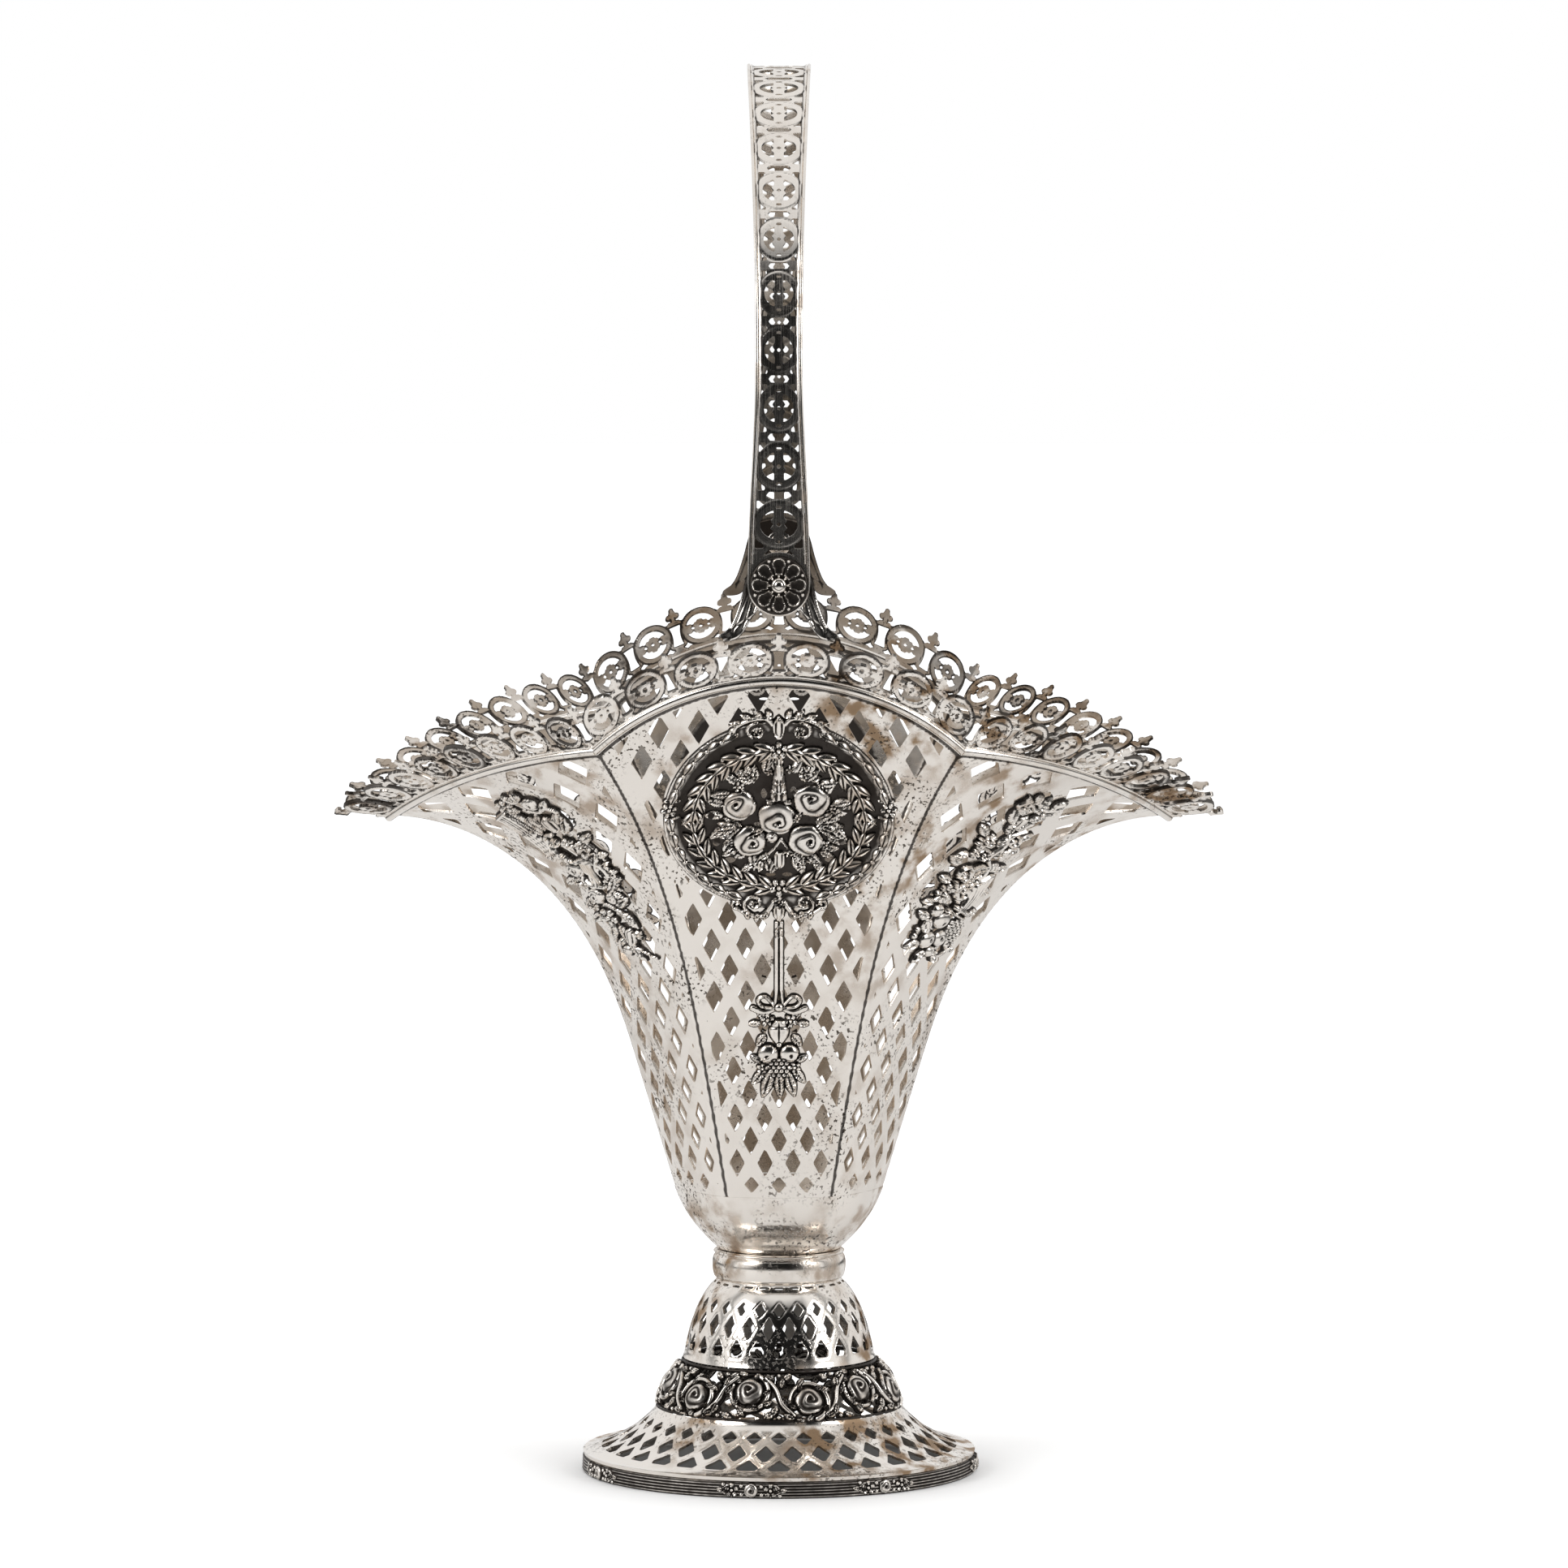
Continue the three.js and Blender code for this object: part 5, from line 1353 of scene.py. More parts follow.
def rose_cell(width):
    plate = Plate(width / 2, 0, BAND_LENGTH, 0.3, 0.15)
    for side, level in ((-1, 9.7), (1, 6.6)):
        x, turn = side * width / 4, -side
        plate.trace(arc(x, level, 6.1, -200 * turn, 70 * turn, 26), (0.55, 1.0), 1.5)
        plate.press(x, level, rose(4.5, 2.3, (0.12 * side, 0.1)), 40 * side)
        ring_of_leaves(plate, x, level, 4.5, (-150, -80, -15, 60, 130), leaf(2.9, 0.95, 1.1),
                       55 * turn)
        ring_of_leaves(plate, x, level, 6.3, (-120, -45, 30, 105, 165), leaf(3.6, 1.0, 1.2),
                       70, turn)
    for x in (-width / 2, 0, width / 2):
        sign = 1 if x == 0 else -1
        plate.trace(bow(*((x + dx, BAND_MIDDLE + dy * sign) for dx, dy in (
            (-4.4, 6.2), (-1, 2.5), (1, -2.5), (4.4, -6.2)))), 0.8, 1.5)
        for dx, y, turn in ((1.5, 14.2, 30), (-1.5, 14.0, 150), (-1.4, 2.6, 205),
                            (1.5, 2.3, -25), (0.6, 11.2, 75), (-0.6, 5.2, 250)):
            plate.press(x + dx, y, leaf(3.7, 1.1, 1.3), turn)
        for y in (15.6, 1.5):
            plate.press(x, y, bead(0.8, 1.2))
    edge = np.minimum(plate.Y, BAND_LENGTH - plate.Y)
    plate.metal = np.maximum(plate.metal, BAND_EDGE - edge)
    plate.height = np.where(edge < BAND_EDGE, np.maximum(plate.height, 0.5), plate.height)
    return plate


def rose_band():
    reference = float(BAND(BAND_LENGTH / 2)[0])
    plate = rose_cell(2 * math.pi * reference / BAND_CELLS)
    for grid in (plate.metal, plate.height):
        grid[:, 0] = grid[:, -1] = np.maximum(grid[:, 0], grid[:, -1])
    cell = sheet_mesh("cell", plate.metal, plate.xs, plate.ys, ring_place(BAND, reference),
                      plate.height - 0.5, {"crest": plate.crest()}, -0.9, open_sides=True)
    return joined("rose_scroll_band", [ring_of(cell, BAND_CELLS)], 50)


finish_piece(rose_band(), "foot_rose_band", FOOT_RELIEF)

# %% [markdown]
# ## Collar and cup
# The collar is a plain turned ring that hides the joint of foot and body. The cup above it is
# round below and six-sided above, where the panels start; its silver is pitted.

# %% Collar and cup
def neck_collar():
    outer = smooth_line([(20.4, 62.3), (20.8, 62.8), (21.15, 64.0), (21.35, 65.8), (21.35, 67.4),
                         (21.05, 68.9), (20.5, 69.7), (20.3, 70.1), (20.9, 70.5), (20.9, 70.9),
                         (20.0, 71.4)], 4)
    return joined("turned_collar", [turned([(16.0, 62.3), *outer, (16.0, 71.4)], 160)])


CUP_LIP = 91.45
CUP_RINGS = 26


def cup_shell():
    """Round at the bottom and following the six panels at the top, with an inside."""
    profile, length = profile_of([(19.6, 71.7), (27.5, 78.7), (31.3, 84.6), (33.2, CUP_LIP)])
    rim = np.concatenate([on_panel(k, np.linspace(-1, 1, 33)[:-1], np.zeros(32))
                          for k in range(6)])
    reach = np.hypot(rim[:, 0], rim[:, 1])
    heading = rim[:, :2] / reach[:, None]
    around = len(rim)
    up_and_down = np.linspace(0, length, CUP_RINGS)
    rows = []
    for back, lengths in ((0.0, up_and_down), (SHEET, up_and_down[::-1])):
        for s in lengths:
            r, z, out, up = profile(s)
            share = 1 + (reach / SEAM_RADIUS - 1) * (s / length) ** 2
            radius = (r - back * out) * share + (0.3 * (s / length) ** 4)
            z = min(z - back * up if s < length * 0.98 else z, CUP_LIP)
            rows.append(np.column_stack([heading * radius[:, None], np.full(around, z)]))
    index = np.arange(around)
    after = (index + 1) % around
    faces = []
    for a in range(0, (len(rows) - 1) * around, around):
        b = a + around
        faces += [np.stack([a + index, a + after, b + after], -1),
                  np.stack([a + index, b + after, b + index], -1)]
    last = (len(rows) - 1) * around
    under, dish = last + around, last + around + 1
    places = np.concatenate([*rows, [[0, 0, 71.75], [0, 0, 72.6]]])
    faces.append(np.stack([np.full(around, under), after, index], -1))
    faces.append(np.stack([np.full(around, dish), last + index, last + after], -1))
    return joined("smooth_cup", [(places, np.concatenate(faces), 0.85)])


finish_piece(neck_collar(), "neck_collar", FOOT_SILVER)
finish_piece(cup_shell(), "cup", CUP_SILVER)
print("collar and cup done")

# %% [markdown]
# ## Handle
# The handle is one pierced strip bent over a former: straight legs and a half-round arch.
# Its cell is the border's oval again, turned to stand in a row: an oval ring with a bar down
# the middle, a hollow on either side, and a six-cornered slot between two ovals. The strip
# was finished with a file drawn lengthwise, which leaves the fine brushing.

# %% Handle strip
PIVOT, ARCH_CENTRE, SPAN = 291.38, 347.92, 102.08
LEG = ARCH_CENTRE - PIVOT
HANDLE_LENGTH = 2 * LEG + math.pi * SPAN
HANDLE_CELLS, DRAWN_CELL = 23, 17.8
END_RADIUS, PIN_HOLE = 9.7, 2.0
END_WIDTH, WAIST_WIDTH, TOP_WIDTH, EDGE_ROOM = 9.7, 7.3, 10.15, 1.15


def on_handle(across, along, height):
    across, along = np.broadcast_arrays(np.asarray(across, float), np.asarray(along, float))
    reach = SPAN + height
    angle = np.clip((along - LEG) / SPAN, 0, math.pi)
    down = np.where(along < LEG, along - LEG, np.where(
        along > LEG + math.pi * SPAN, LEG + math.pi * SPAN - along, 0.0))
    return np.stack([across, -reach * np.cos(angle),
                     ARCH_CENTRE + reach * np.sin(angle) + down], -1)


def smooth_part(value):
    value = np.clip(value, 0, 1)
    return value * value * (3 - 2 * value)


def handle_half_width(along):
    half, waist = HANDLE_LENGTH / 2, LEG + 12
    rise = half - np.abs(half - np.clip(along, 0, HANDLE_LENGTH))
    low = END_WIDTH + (WAIST_WIDTH - END_WIDTH) * smooth_part(rise / waist)
    high = WAIST_WIDTH + (TOP_WIDTH - WAIST_WIDTH) * smooth_part(
        (rise - waist) / (half - waist))
    return np.where(rise < waist, low, high)


def handle_cell(x, y, half):
    """Holes of one cell: y from -8.9 to 8.9 along the handle, half is the strip's half width."""
    x = x / (half / 7.0)
    side, up = np.abs(x), np.abs(y)
    saw = np.where(up < 2.2, 1 - np.abs((up / 2.2 - 0.5) * 2), 0.0)
    dee = np.minimum(ellipse(x, y, 0, 0, 5.0, 4.5), side - 1.4 - 0.85 * saw)
    ring = ellipse(x, y, 0, 0, 7.0, 7.2)
    corner = np.minimum.reduce([-ring - 0.25, 6.2 - side, 7.3 - up, side - 4.0])
    to_next = DRAWN_CELL / 2 - up
    slot = np.minimum(1.1 - to_next, (3.6 - side - to_next * 0.75) * 0.8)
    pip = diamond_hole(x, y, 0.8, 0.8)
    off = np.abs(up - 5.35)
    notch = np.minimum(0.45 - off, 1.0 - side - 0.8 * off)
    return np.maximum.reduce([dee, corner, slot, pip, notch]), ring


def round_end(X, Y, half, body, holes, centre):
    """Adds the round end of the strip with the hole for its pin."""
    reach = np.hypot(X, Y - centre)
    inwards = (Y - centre) * (1 if centre == 0 else -1)
    neck = np.where((np.abs(Y - centre) < END_RADIUS) & (inwards > 0),
                    np.minimum(half + EDGE_ROOM - np.abs(X), 3.0), NO_HOLE)
    body = np.maximum.reduce([body, END_RADIUS - reach, neck])
    holes = np.maximum(holes, PIN_HOLE - reach)
    clear = END_RADIUS + 0.5
    kept_out = (reach < clear) & (reach >= PIN_HOLE + 0.5)
    return body, np.where(kept_out, np.minimum(holes, reach - clear), holes)


def handle_strip():
    step = 0.42
    pitch = (HANDLE_LENGTH - 2 * END_RADIUS) / HANDLE_CELLS
    xs = np.linspace(-9.9, 9.9, 50)
    ys = np.arange(-9.8, HANDLE_LENGTH + 9.8 + step, step)
    X, Y = np.meshgrid(xs, ys)
    half = handle_half_width(Y) - EDGE_ROOM
    row = np.clip(np.floor((Y - END_RADIUS) / pitch), 0, HANDLE_CELLS - 1)
    local = (Y - END_RADIUS - (row + 0.5) * pitch) * DRAWN_CELL / pitch
    holes, ring = handle_cell(X, local, half)
    inside = np.minimum(Y - END_RADIUS, HANDLE_LENGTH - END_RADIUS - Y)
    holes = np.where(inside > -EDGE_ROOM, holes, NO_HOLE)
    body = np.where(inside > 0, half - np.abs(X), NO_HOLE)
    for centre in (0, HANDLE_LENGTH):
        body, holes = round_end(X, Y, half, body, holes, centre)
    rim = np.where(inside > 0, half - np.abs(X), body)
    height = 0.3 * ridge(rim - 0.35, 0.3) - 0.16 * ridge(ring + 0.05, 0.28)
    crest = np.clip(0.86 - 0.75 * ridge(rim - 0.85, 0.28) - 0.6 * ridge(ring + 0.05, 0.25)
                    - 0.35 * ridge(rim, 0.25), 0, 1)
    return sheet_mesh("handle_openwork", np.minimum(body, -holes), xs, ys, on_handle,
                      height - 0.35, values={"crest": crest, "across": X, "along": Y})


def handle_wire(side, name):
    """A stout wire round the strip's edge and a thin one beside it."""
    angles = np.linspace(0, math.pi / 2, 12)[::-1]
    along = np.linspace(6.5, HANDLE_LENGTH - 6.5, 220)
    across = handle_half_width(along) - 0.55
    end_x, end_y = 9.15 * np.cos(angles), -9.15 * np.sin(angles)
    x = np.concatenate([end_x, across, end_x[::-1]])
    y = np.concatenate([end_y, along, HANDLE_LENGTH - end_y[::-1]])
    return joined(name, [wire(on_handle(side * x, y, -0.15), 0.52, 10, 0.85),
                         wire(on_handle(side * (across - 0.95), along, 0.0), 0.2, 6, 0.6)])


finish_piece(handle_strip(), "handle_strip", HANDLE_SILVER, "handle")
for side, side_name in ((1, "right"), (-1, "left")):
    edge_wire = handle_wire(side, "edge_wire_" + side_name)
    finish_piece(edge_wire, "handle_wire_" + side_name, WIRE_SILVER, "handle")

# %% [markdown]
# ## Rosettes, pins, washers and brackets
# Each end of the handle turns on a riveted pin under a rosette. One petal of the rosette is
# drawn on a wedge and the ring tree turns it eight times. The bracket behind it is a flat
# casting: a head round the pin and two fluted legs with scrolled toes on the border.

# %% Pivots
PETALS = 8
HALF_PETAL = math.pi / PETALS
GAP_BEAD_RADIUS = 7.95


def facing(places, side, depth):
    """Turns a piece drawn flat (across, up, out) to the front (-1) or the back (1)."""
    return np.stack([-side * places[:, 0], side * (depth + places[:, 2]),
                     PIVOT + places[:, 1]], -1)


def rosette(side, name):
    xs = np.linspace(-HALF_PETAL, HALF_PETAL, 27)
    ys = np.linspace(1.95, 9.05, 38)
    A, R = np.meshgrid(xs, ys)
    x, y = R * np.sin(A), R * np.cos(A)
    wedge = np.minimum.reduce([0.29 * y - 0.05 - np.abs(x), y - 3.45, 6.6 - y])
    petal = np.maximum(wedge, 1.82 - np.hypot(x, y - 6.4))
    edge = 0.6 * ridge(petal, 0.24)
    dish = np.where(petal > 0.3, 0.2 + 0.3 * np.clip(1 - petal / 2, 0, 1), 0.3)
    to_bead = np.hypot(x - GAP_BEAD_RADIUS * math.sin(HALF_PETAL) * np.sign(A + 1e-9),
                       y - GAP_BEAD_RADIUS * math.cos(HALF_PETAL))
    beads = np.maximum(1.2 * dome(to_bead / 0.6), 1.5 * dome(np.hypot(x, y - 2.75) / 0.55))
    rib = 0.2 * np.exp(-(np.abs(np.abs(A) - HALF_PETAL) * R / 0.2) ** 2) * (R > 3.8)
    height = (0.25 + dish + edge) * np.clip((9.05 - R) * 1.8, 0.35, 1)
    height = np.maximum.reduce([height, 0.25 + rib, beads])
    field = np.minimum(9.2 - 0.35 * np.cos(A * PETALS + math.pi) - R, R - 1.96)
    crest = np.clip(np.maximum(1.6 * edge, 0.75 * beads), 0, 1)
    cell = sheet_mesh("cell", field, xs, ys, lambda a, r, raised: np.stack(
        [r * np.sin(a), r * np.cos(a), raised], -1), height, {"crest": crest}, 0.0,
        open_sides=True)
    places, faces, crests = ring_of(cell, PETALS)
    return joined(name, [(facing(places, side, 102.4), faces, crests)], 50)


def lathed(name, profile, side):
    """A turned piece whose axis points out of the front or the back."""
    places, faces, crests = turned(profile, 40)
    return joined(name, [(facing(places, side, 0.0), faces, crests)])


PIN = [(0.0, 97.28), (1.6, 97.35), (2.6, 97.6), (2.9, 98.0), (2.9, 98.45), (1.7, 98.5),
       (1.7, 103.6), (2.3, 103.65), (2.25, 104.1), (1.85, 104.55), (1.5, 104.62),
       (1.35, 104.5), (1.2, 104.62), (0.8, 104.88), (0.0, 104.95)]
WASHER = [(2.0, 98.8), (3.7, 98.8), (4.0, 98.95), (4.0, 99.3), (3.8, 99.47), (2.0, 99.47)]
# Half of the bracket's outline, from the middle of its foot round the toe to its head.
BRACKET_HALF = [(-0.1, -6.6), (3.2, -6.5), (6.2, -7.6), (8.6, -10.8), (10.6, -14.2),
                (12.7, -16.6), (15.4, -17.3), (18.3, -17.1), (18.5, -15.9), (17.2, -14.8),
                (15.6, -13.6), (13.8, -10.5), (11.8, -4.5), (10.2, 1.5), (8.2, 6.2),
                (4.2, 8.0), (-0.1, 8.5)]


def polygon_field(X, Y, corners):
    """Distance to the outline of a polygon, positive inside."""
    inside = np.zeros(X.shape, bool)
    nearest = np.full(X.shape, 99.0)
    for a, b in zip(corners, np.roll(corners, -1, 0)):
        run = b - a
        t = np.clip(((X - a[0]) * run[0] + (Y - a[1]) * run[1]) / (run @ run), 0, 1)
        nearest = np.minimum(nearest, np.hypot(X - a[0] - t * run[0], Y - a[1] - t * run[1]))
        crosses = (a[1] > Y) != (b[1] > Y)
        slope = run[0] / run[1] if abs(run[1]) > 1e-9 else 0.0
        inside ^= crosses & (X < a[0] + (Y - a[1]) * slope)
    return np.where(inside, nearest, -nearest)


def bracket(side, name):
    xs, ys, X, Y = grid_of(19.2, -17.6, 9.0, 0.3)
    x = np.abs(X)
    body = polygon_field(x, Y, smooth_line(BRACKET_HALF, 4))
    field = np.minimum(body, np.hypot(X, Y) - PIN_HOLE)
    flutes = np.abs(np.sin(np.arctan2(x - 4.0, 12.0 - Y) * 34.0)) ** 0.8
    legs = np.clip((-1.0 - Y) / 7.0, 0, 1) * np.clip(body * 1.2, 0, 1)
    lip = 0.55 * ridge(body - 0.45, 0.35)
    toe = np.hypot(x - 16.2, Y + 15.8)
    curl = 0.9 * np.abs(np.cos(toe * 2.1)) * (toe < 2.3)
    split = 0.6 * ridge(Y + 11.6 + 0.55 * (x - 11), 0.35) * (x > 6)
    height = 0.2 + lip + 1.25 * flutes * legs - split
    height = np.clip(np.where(toe < 2.3, np.maximum(height, 0.4 + curl), height), 0.0, 2.0)
    # The casting is shallow, so that the handle clears it when it swings.
    return sheet_mesh(name, field, xs, ys, lambda a, b, raised: facing(
        np.stack([a, b, raised * 0.35], -1), side, 99.9), height,
        {"crest": np.clip(0.1 + 0.6 * height, 0, 1)}, -0.9)


for side, end in ((-1, "front"), (1, "back")):
    finish_piece(rosette(side, "petal_rosette_" + end), "rosette_" + end, PIVOT_SILVER,
                 "handle")
    finish_piece(lathed("riveted_pin_" + end, PIN, side), "pivot_pin_" + end, WIRE_SILVER,
                 "handle")
    finish_piece(lathed("thin_washer_" + end, WASHER, side), "washer_" + end, WIRE_SILVER)
    finish_piece(bracket(side, "fluted_bracket_" + end), "bracket_" + end, PIVOT_SILVER)
print("pivots done")

# %% [markdown]
# ## Ornaments let into the panels
# Three kinds of stamping: a roundel with a wreath round a bunch of roses, a pendant of fruit
# below it, and on the side panels a trophy of instruments and flowers. Each is drawn flat,
# then bent onto its panel. The husks, the wreath's leaves and its berries are small stamps that
# the scatter tree sets along a line, because on the real piece they repeat like that.

# %% Small stamps for the scatter tree
def small_stamp(name, length, half_wide, tall, rib):
    """A leaf-like drop along +X with a rib or a groove, a few dozen faces."""
    T, Q = np.meshgrid(np.linspace(0, 1, 9), np.linspace(-1, 1, 7), indexing="ij")
    half = half_wide * np.sin(math.pi * T ** 0.85) ** 0.7 + 0.02
    body = dome(Q) * np.sin(math.pi * np.clip(T, 0.06, 0.94)) ** 0.5
    on_rib = np.abs(Q) < 0.2
    top = tall * body * (1 - rib * on_rib) - 0.25 * (np.abs(Q) == 1)
    places = np.stack([T * length - length / 2, Q * half, top], -1).reshape(-1, 3)
    rows, columns = T.shape
    corner = np.arange(rows * columns).reshape(rows, columns)
    a, b, c, d = corner[:-1, :-1], corner[1:, :-1], corner[1:, 1:], corner[:-1, 1:]
    faces = np.stack([a, b, c, a, c, d], -1).reshape(-1, 3)
    crest = np.clip(0.1 + 0.95 * body * (1 - 0.9 * (rib > 0) * on_rib), 0, 1)
    return make_object(name, places, faces, {"crest": crest.reshape(-1)}, 60)


def scatter(stamp, line, count, turn, size, uneven, lift):
    """Copies of a stamp along a flat line, as (places, faces, crest)."""
    path = path_object(np.column_stack([line, np.full(len(line), lift)]))
    mesh = run_tree(path, SCATTER, Stamp=stamp, Count=count, Turn=turn, Size=size,
                    Uneven=uneven, Finish=RELIEF_SILVER)
    discard(path)
    return mesh_part(mesh)


def bend_parts(name, k, parts, centre, node, widen=1.0):
    bent = [(bend_on_panel(k, p[:, 0] * widen, p[:, 1] + centre, p[:, 2]), faces, crest)
            for p, faces, crest in parts]
    piece = joined(name, bent, 50)
    finish_piece(piece, node, RELIEF_SILVER)
    return len(piece.data.polygons)


def flat_part(plate):
    return plate.part(lambda *place: np.stack(place, -1), 0.06)


HUSK = small_stamp("husk", 5.6, 1.6, 1.8, 0.3)
WREATH_LEAF = small_stamp("wreath_leaf", 6.6, 1.45, 1.5, 0.55)
BERRY = small_stamp("berry", 1.7, 0.85, 1.3, 0.0)
print("small stamps:", len(HUSK.data.polygons), "faces each")

# %% [markdown]
# ### Roundel
# The outer ring is a chain of husks between two florets, with scrolls at the top and bottom.
# Inside it a smooth sunk band, then a laurel wreath, then roses round a bound torch.

# %% Roundel
HUSK_CHAIN = (33.8, 31.6, 1.5)
CHAIN_MEAN = 32.7
# Small openings right through the stamping, each with its place and half sizes.
ROUNDEL_OPENINGS = (
    (-20.4, 12.0, 1.7, 2.3), (20.3, 12.2, 1.7, 2.4), (9.6, 12.7, 1.6, 0.8),
    (-21.2, 1.2, 1.1, 1.5), (20.9, 2.9, 1.5, 0.9), (-6.6, -2.7, 1.3, 0.7),
    (-4.0, -11.4, 1.5, 0.8), (-4.8, -26.9, 2.3, 0.5), (4.8, -26.9, 2.3, 0.5),
    (-5.0, 27.7, 1.6, 0.5), (5.0, 27.7, 1.6, 0.5), (-15.5, -15.2, 1.9, 1.0),
    (16.2, -15.0, 1.9, 1.0), (-19.5, -8.6, 1.2, 1.4), (19.7, -8.2, 1.2, 1.4),
    (-4.6, 8.3, 1.0, 1.8), (4.6, 9.2, 1.0, 1.6), (2.6, -20.6, 1.6, 0.7),
    (-2.6, -20.6, 1.6, 0.7), (-13.6, 18.6, 1.6, 1.0), (13.8, 18.6, 1.6, 1.0))


def scrolls_outside(plate, side):
    """Leaves and volutes above and below the ring of husks, and the floret at its side."""
    for x, y in ((2.2, 36.9), (5.0, 37.3), (8.2, 37.0), (11.2, 35.6)):
        plate.press(side * x, y - 0.6, leaf(4.2, 1.0, 1.5), 90 - side * (x * 7 + 12))
    for corners in (((1.6, 33.6), (4, 36.6), (9, 36.2), (13.2, 33.8), (13.9, 31.2)),
                    ((1.5, -30), (5, -34.6), (9.5, -34.2), (13.4, -31.6))):
        top = corners[0][1] > 0
        plate.trace([(side * x, y) for x, y in bow(*corners)], (0.9, 0.6), 1.5)
        x, y, start, way = (6.9, 31.7, 90, -1) if top else (8.0, -30.6, 250, 1)
        plate.scroll(side * x, y, start, way * 1.2 * side, 3.0, 0.62, 1.3)
        plate.press(side * x, y, flower(1.7 if top else 1.6, 1.4), 15 if top else 40)
        x, y, start, radius = (13.6, 31.0, 100, 1.7) if top else (13.2, -30.4, 280, 1.6)
        plate.scroll(side * x, y, start, way * 0.9 * side, radius, 0.55, 1.3)
    for x, y, angle in ((3.4, -33.2, -60), (6.6, -33.6, -80), (10.0, -32.7, -95)):
        plate.press(side * x, y, leaf(3.6, 0.95, 1.4), 90 + side * (angle - 90))
    plate.press(side * 34.3, 4.6, flower(2.7, 1.7, 6), 10)
    plate.trace([(side * 31.3, 7.6), (side * 35.6, 8.1)], 0.5, 1.2)
    plate.trace([(side * 31.3, 1.6), (side * 35.4, 1.2)], 0.5, 1.2)


def bouquet(plate):
    """Leaves all round, sprays and stalks, small flowers, the bound torch, then the roses."""
    rng = np.random.default_rng(4)
    for angle in np.arange(0, 360, 15):
        a = math.radians(angle)
        plate.press(17.2 * math.cos(a), 1 + 15.4 * math.sin(a), leaf(7.0, 1.7, 1.1),
                    angle + rng.uniform(-40, 40))
    for x, y, turn, count, length, width, spread in (
            (-11.5, -3.6, 186, 5, 9.5, 1.5, 20), (11.5, -1.4, -8, 5, 9.5, 1.5, 20),
            (-7.5, 13.0, 128, 4, 7.5, 1.6, 24), (7.5, 13.0, 52, 4, 7.5, 1.6, 24)):
        plate.spray(x, y, turn, count, length, width, 1.3, spread)
    for stalk in (((0.6, -8), (-2, -12), (-7.8, -16.8)), ((0.6, -8), (4, -12.5), (11, -16.8))):
        plate.trace(bow(*stalk), (0.6, 0.35), 1.0)
    for x, y, angle in ((-3, -13, 215), (-5.4, -15, 260), (-7.8, -16.6, 210), (4, -12.5, 330),
                        (7, -14.6, 280), (10.6, -16.4, 325), (-9.5, -12.5, 200),
                        (12.5, -12, 340)):
        plate.press(x, y, leaf(5.2, 1.3, 1.2), angle)
    plate.press(0.2, -12.2, bud(6.4, 2.0, 1.5), -90)
    for x, y, radius in ((-8.2, 15.6, 2.3), (8.2, 15.8, 2.2), (-12.4, 11.2, 2.2),
                         (12.6, 11.6, 2.0), (-15.5, 6.0, 1.7), (16.2, 3.6, 1.8),
                         (-14.8, -9.8, 1.9), (14.9, -9.6, 1.9), (3.0, -12.8, 1.6),
                         (-3.2, 16.4, 1.6), (3.6, 17.2, 1.6)):
        plate.press(x, y, flower(radius, 1.6), x * 9)
    plate.trace([(0, 18.6), (0, 5.7)], (1.3, 2.7), 1.3, flat=0.5)
    for offset in (-0.55, 0, 0.55):
        plate.trace([(offset * 0.8, 18.2), (offset * 2.6, 6.6)], (0.28, 0.5), 1.9)
    for half, left, right, width, tall in ((1.7, 12.8, 12.2, 0.45, 2.1),
                                           (2.2, 9.4, 9.0, 0.45, 2.1),
                                           (3.4, 5.6, 5.4, 0.75, 1.9)):
        plate.trace([(-half, left), (half, right)], width, tall)
    plate.press(0, 18.4, bud(4.2, 1.5, 1.6), 90)
    for x, y, radius, eye, turn in (
            (-9.0, -8.4, 5.3, (0.1, -0.2), 40), (8.4, -8.1, 5.5, (0.35, 0.0), 0),
            (-12.4, 4.4, 5.3, (-0.3, 0.3), 0), (10.2, 6.1, 5.8, (0.35, 0.05), 90),
            (-0.6, -0.2, 6.0, (0.0, -0.3), 20)):
        plate.press(x, y, rose(radius, 2.7, eye), turn)
    plate.press(-2.2, -7.0, rose(2.1, 1.9), 30)
    plate.press(4.9, -1.6, leaf(4.6, 1.3, 1.9), 60)
    plate.press(-4.9, -4.2, leaf(4.6, 1.3, 1.9), 200)


def roundel_plate():
    plate = Plate(37.2, -39.2, 39.4, 0.37, 0.2)
    X, Y = plate.X, plate.Y
    disc = ellipse(X, Y, 0, 1.5, 36.2, 34.0)
    plate.metal = np.maximum(plate.metal, disc)
    wide, tall, middle = HUSK_CHAIN
    chain_line = np.abs(np.hypot(X / wide, (Y - middle) / tall) - 1) * CHAIN_MEAN
    plate.height = np.where(chain_line < 2.2, 0.62 - 0.06 * chain_line ** 2, plate.height)
    plate.height += 0.35 * ridge(disc - 0.45, 0.3)
    for side in (1, -1):
        scrolls_outside(plate, side)
    plate.press(0, 29.2, bud(8.2, 2.1, 1.8), 90)
    plate.press(0, -29.0, bud(8.0, 1.9, 1.8), -90)
    plate.press(0, -30.0, flower(1.9, 1.6))
    bouquet(plate)
    for opening in ROUNDEL_OPENINGS:
        plate.metal = np.minimum(plate.metal, -ellipse(X, Y, *opening))
    return plate


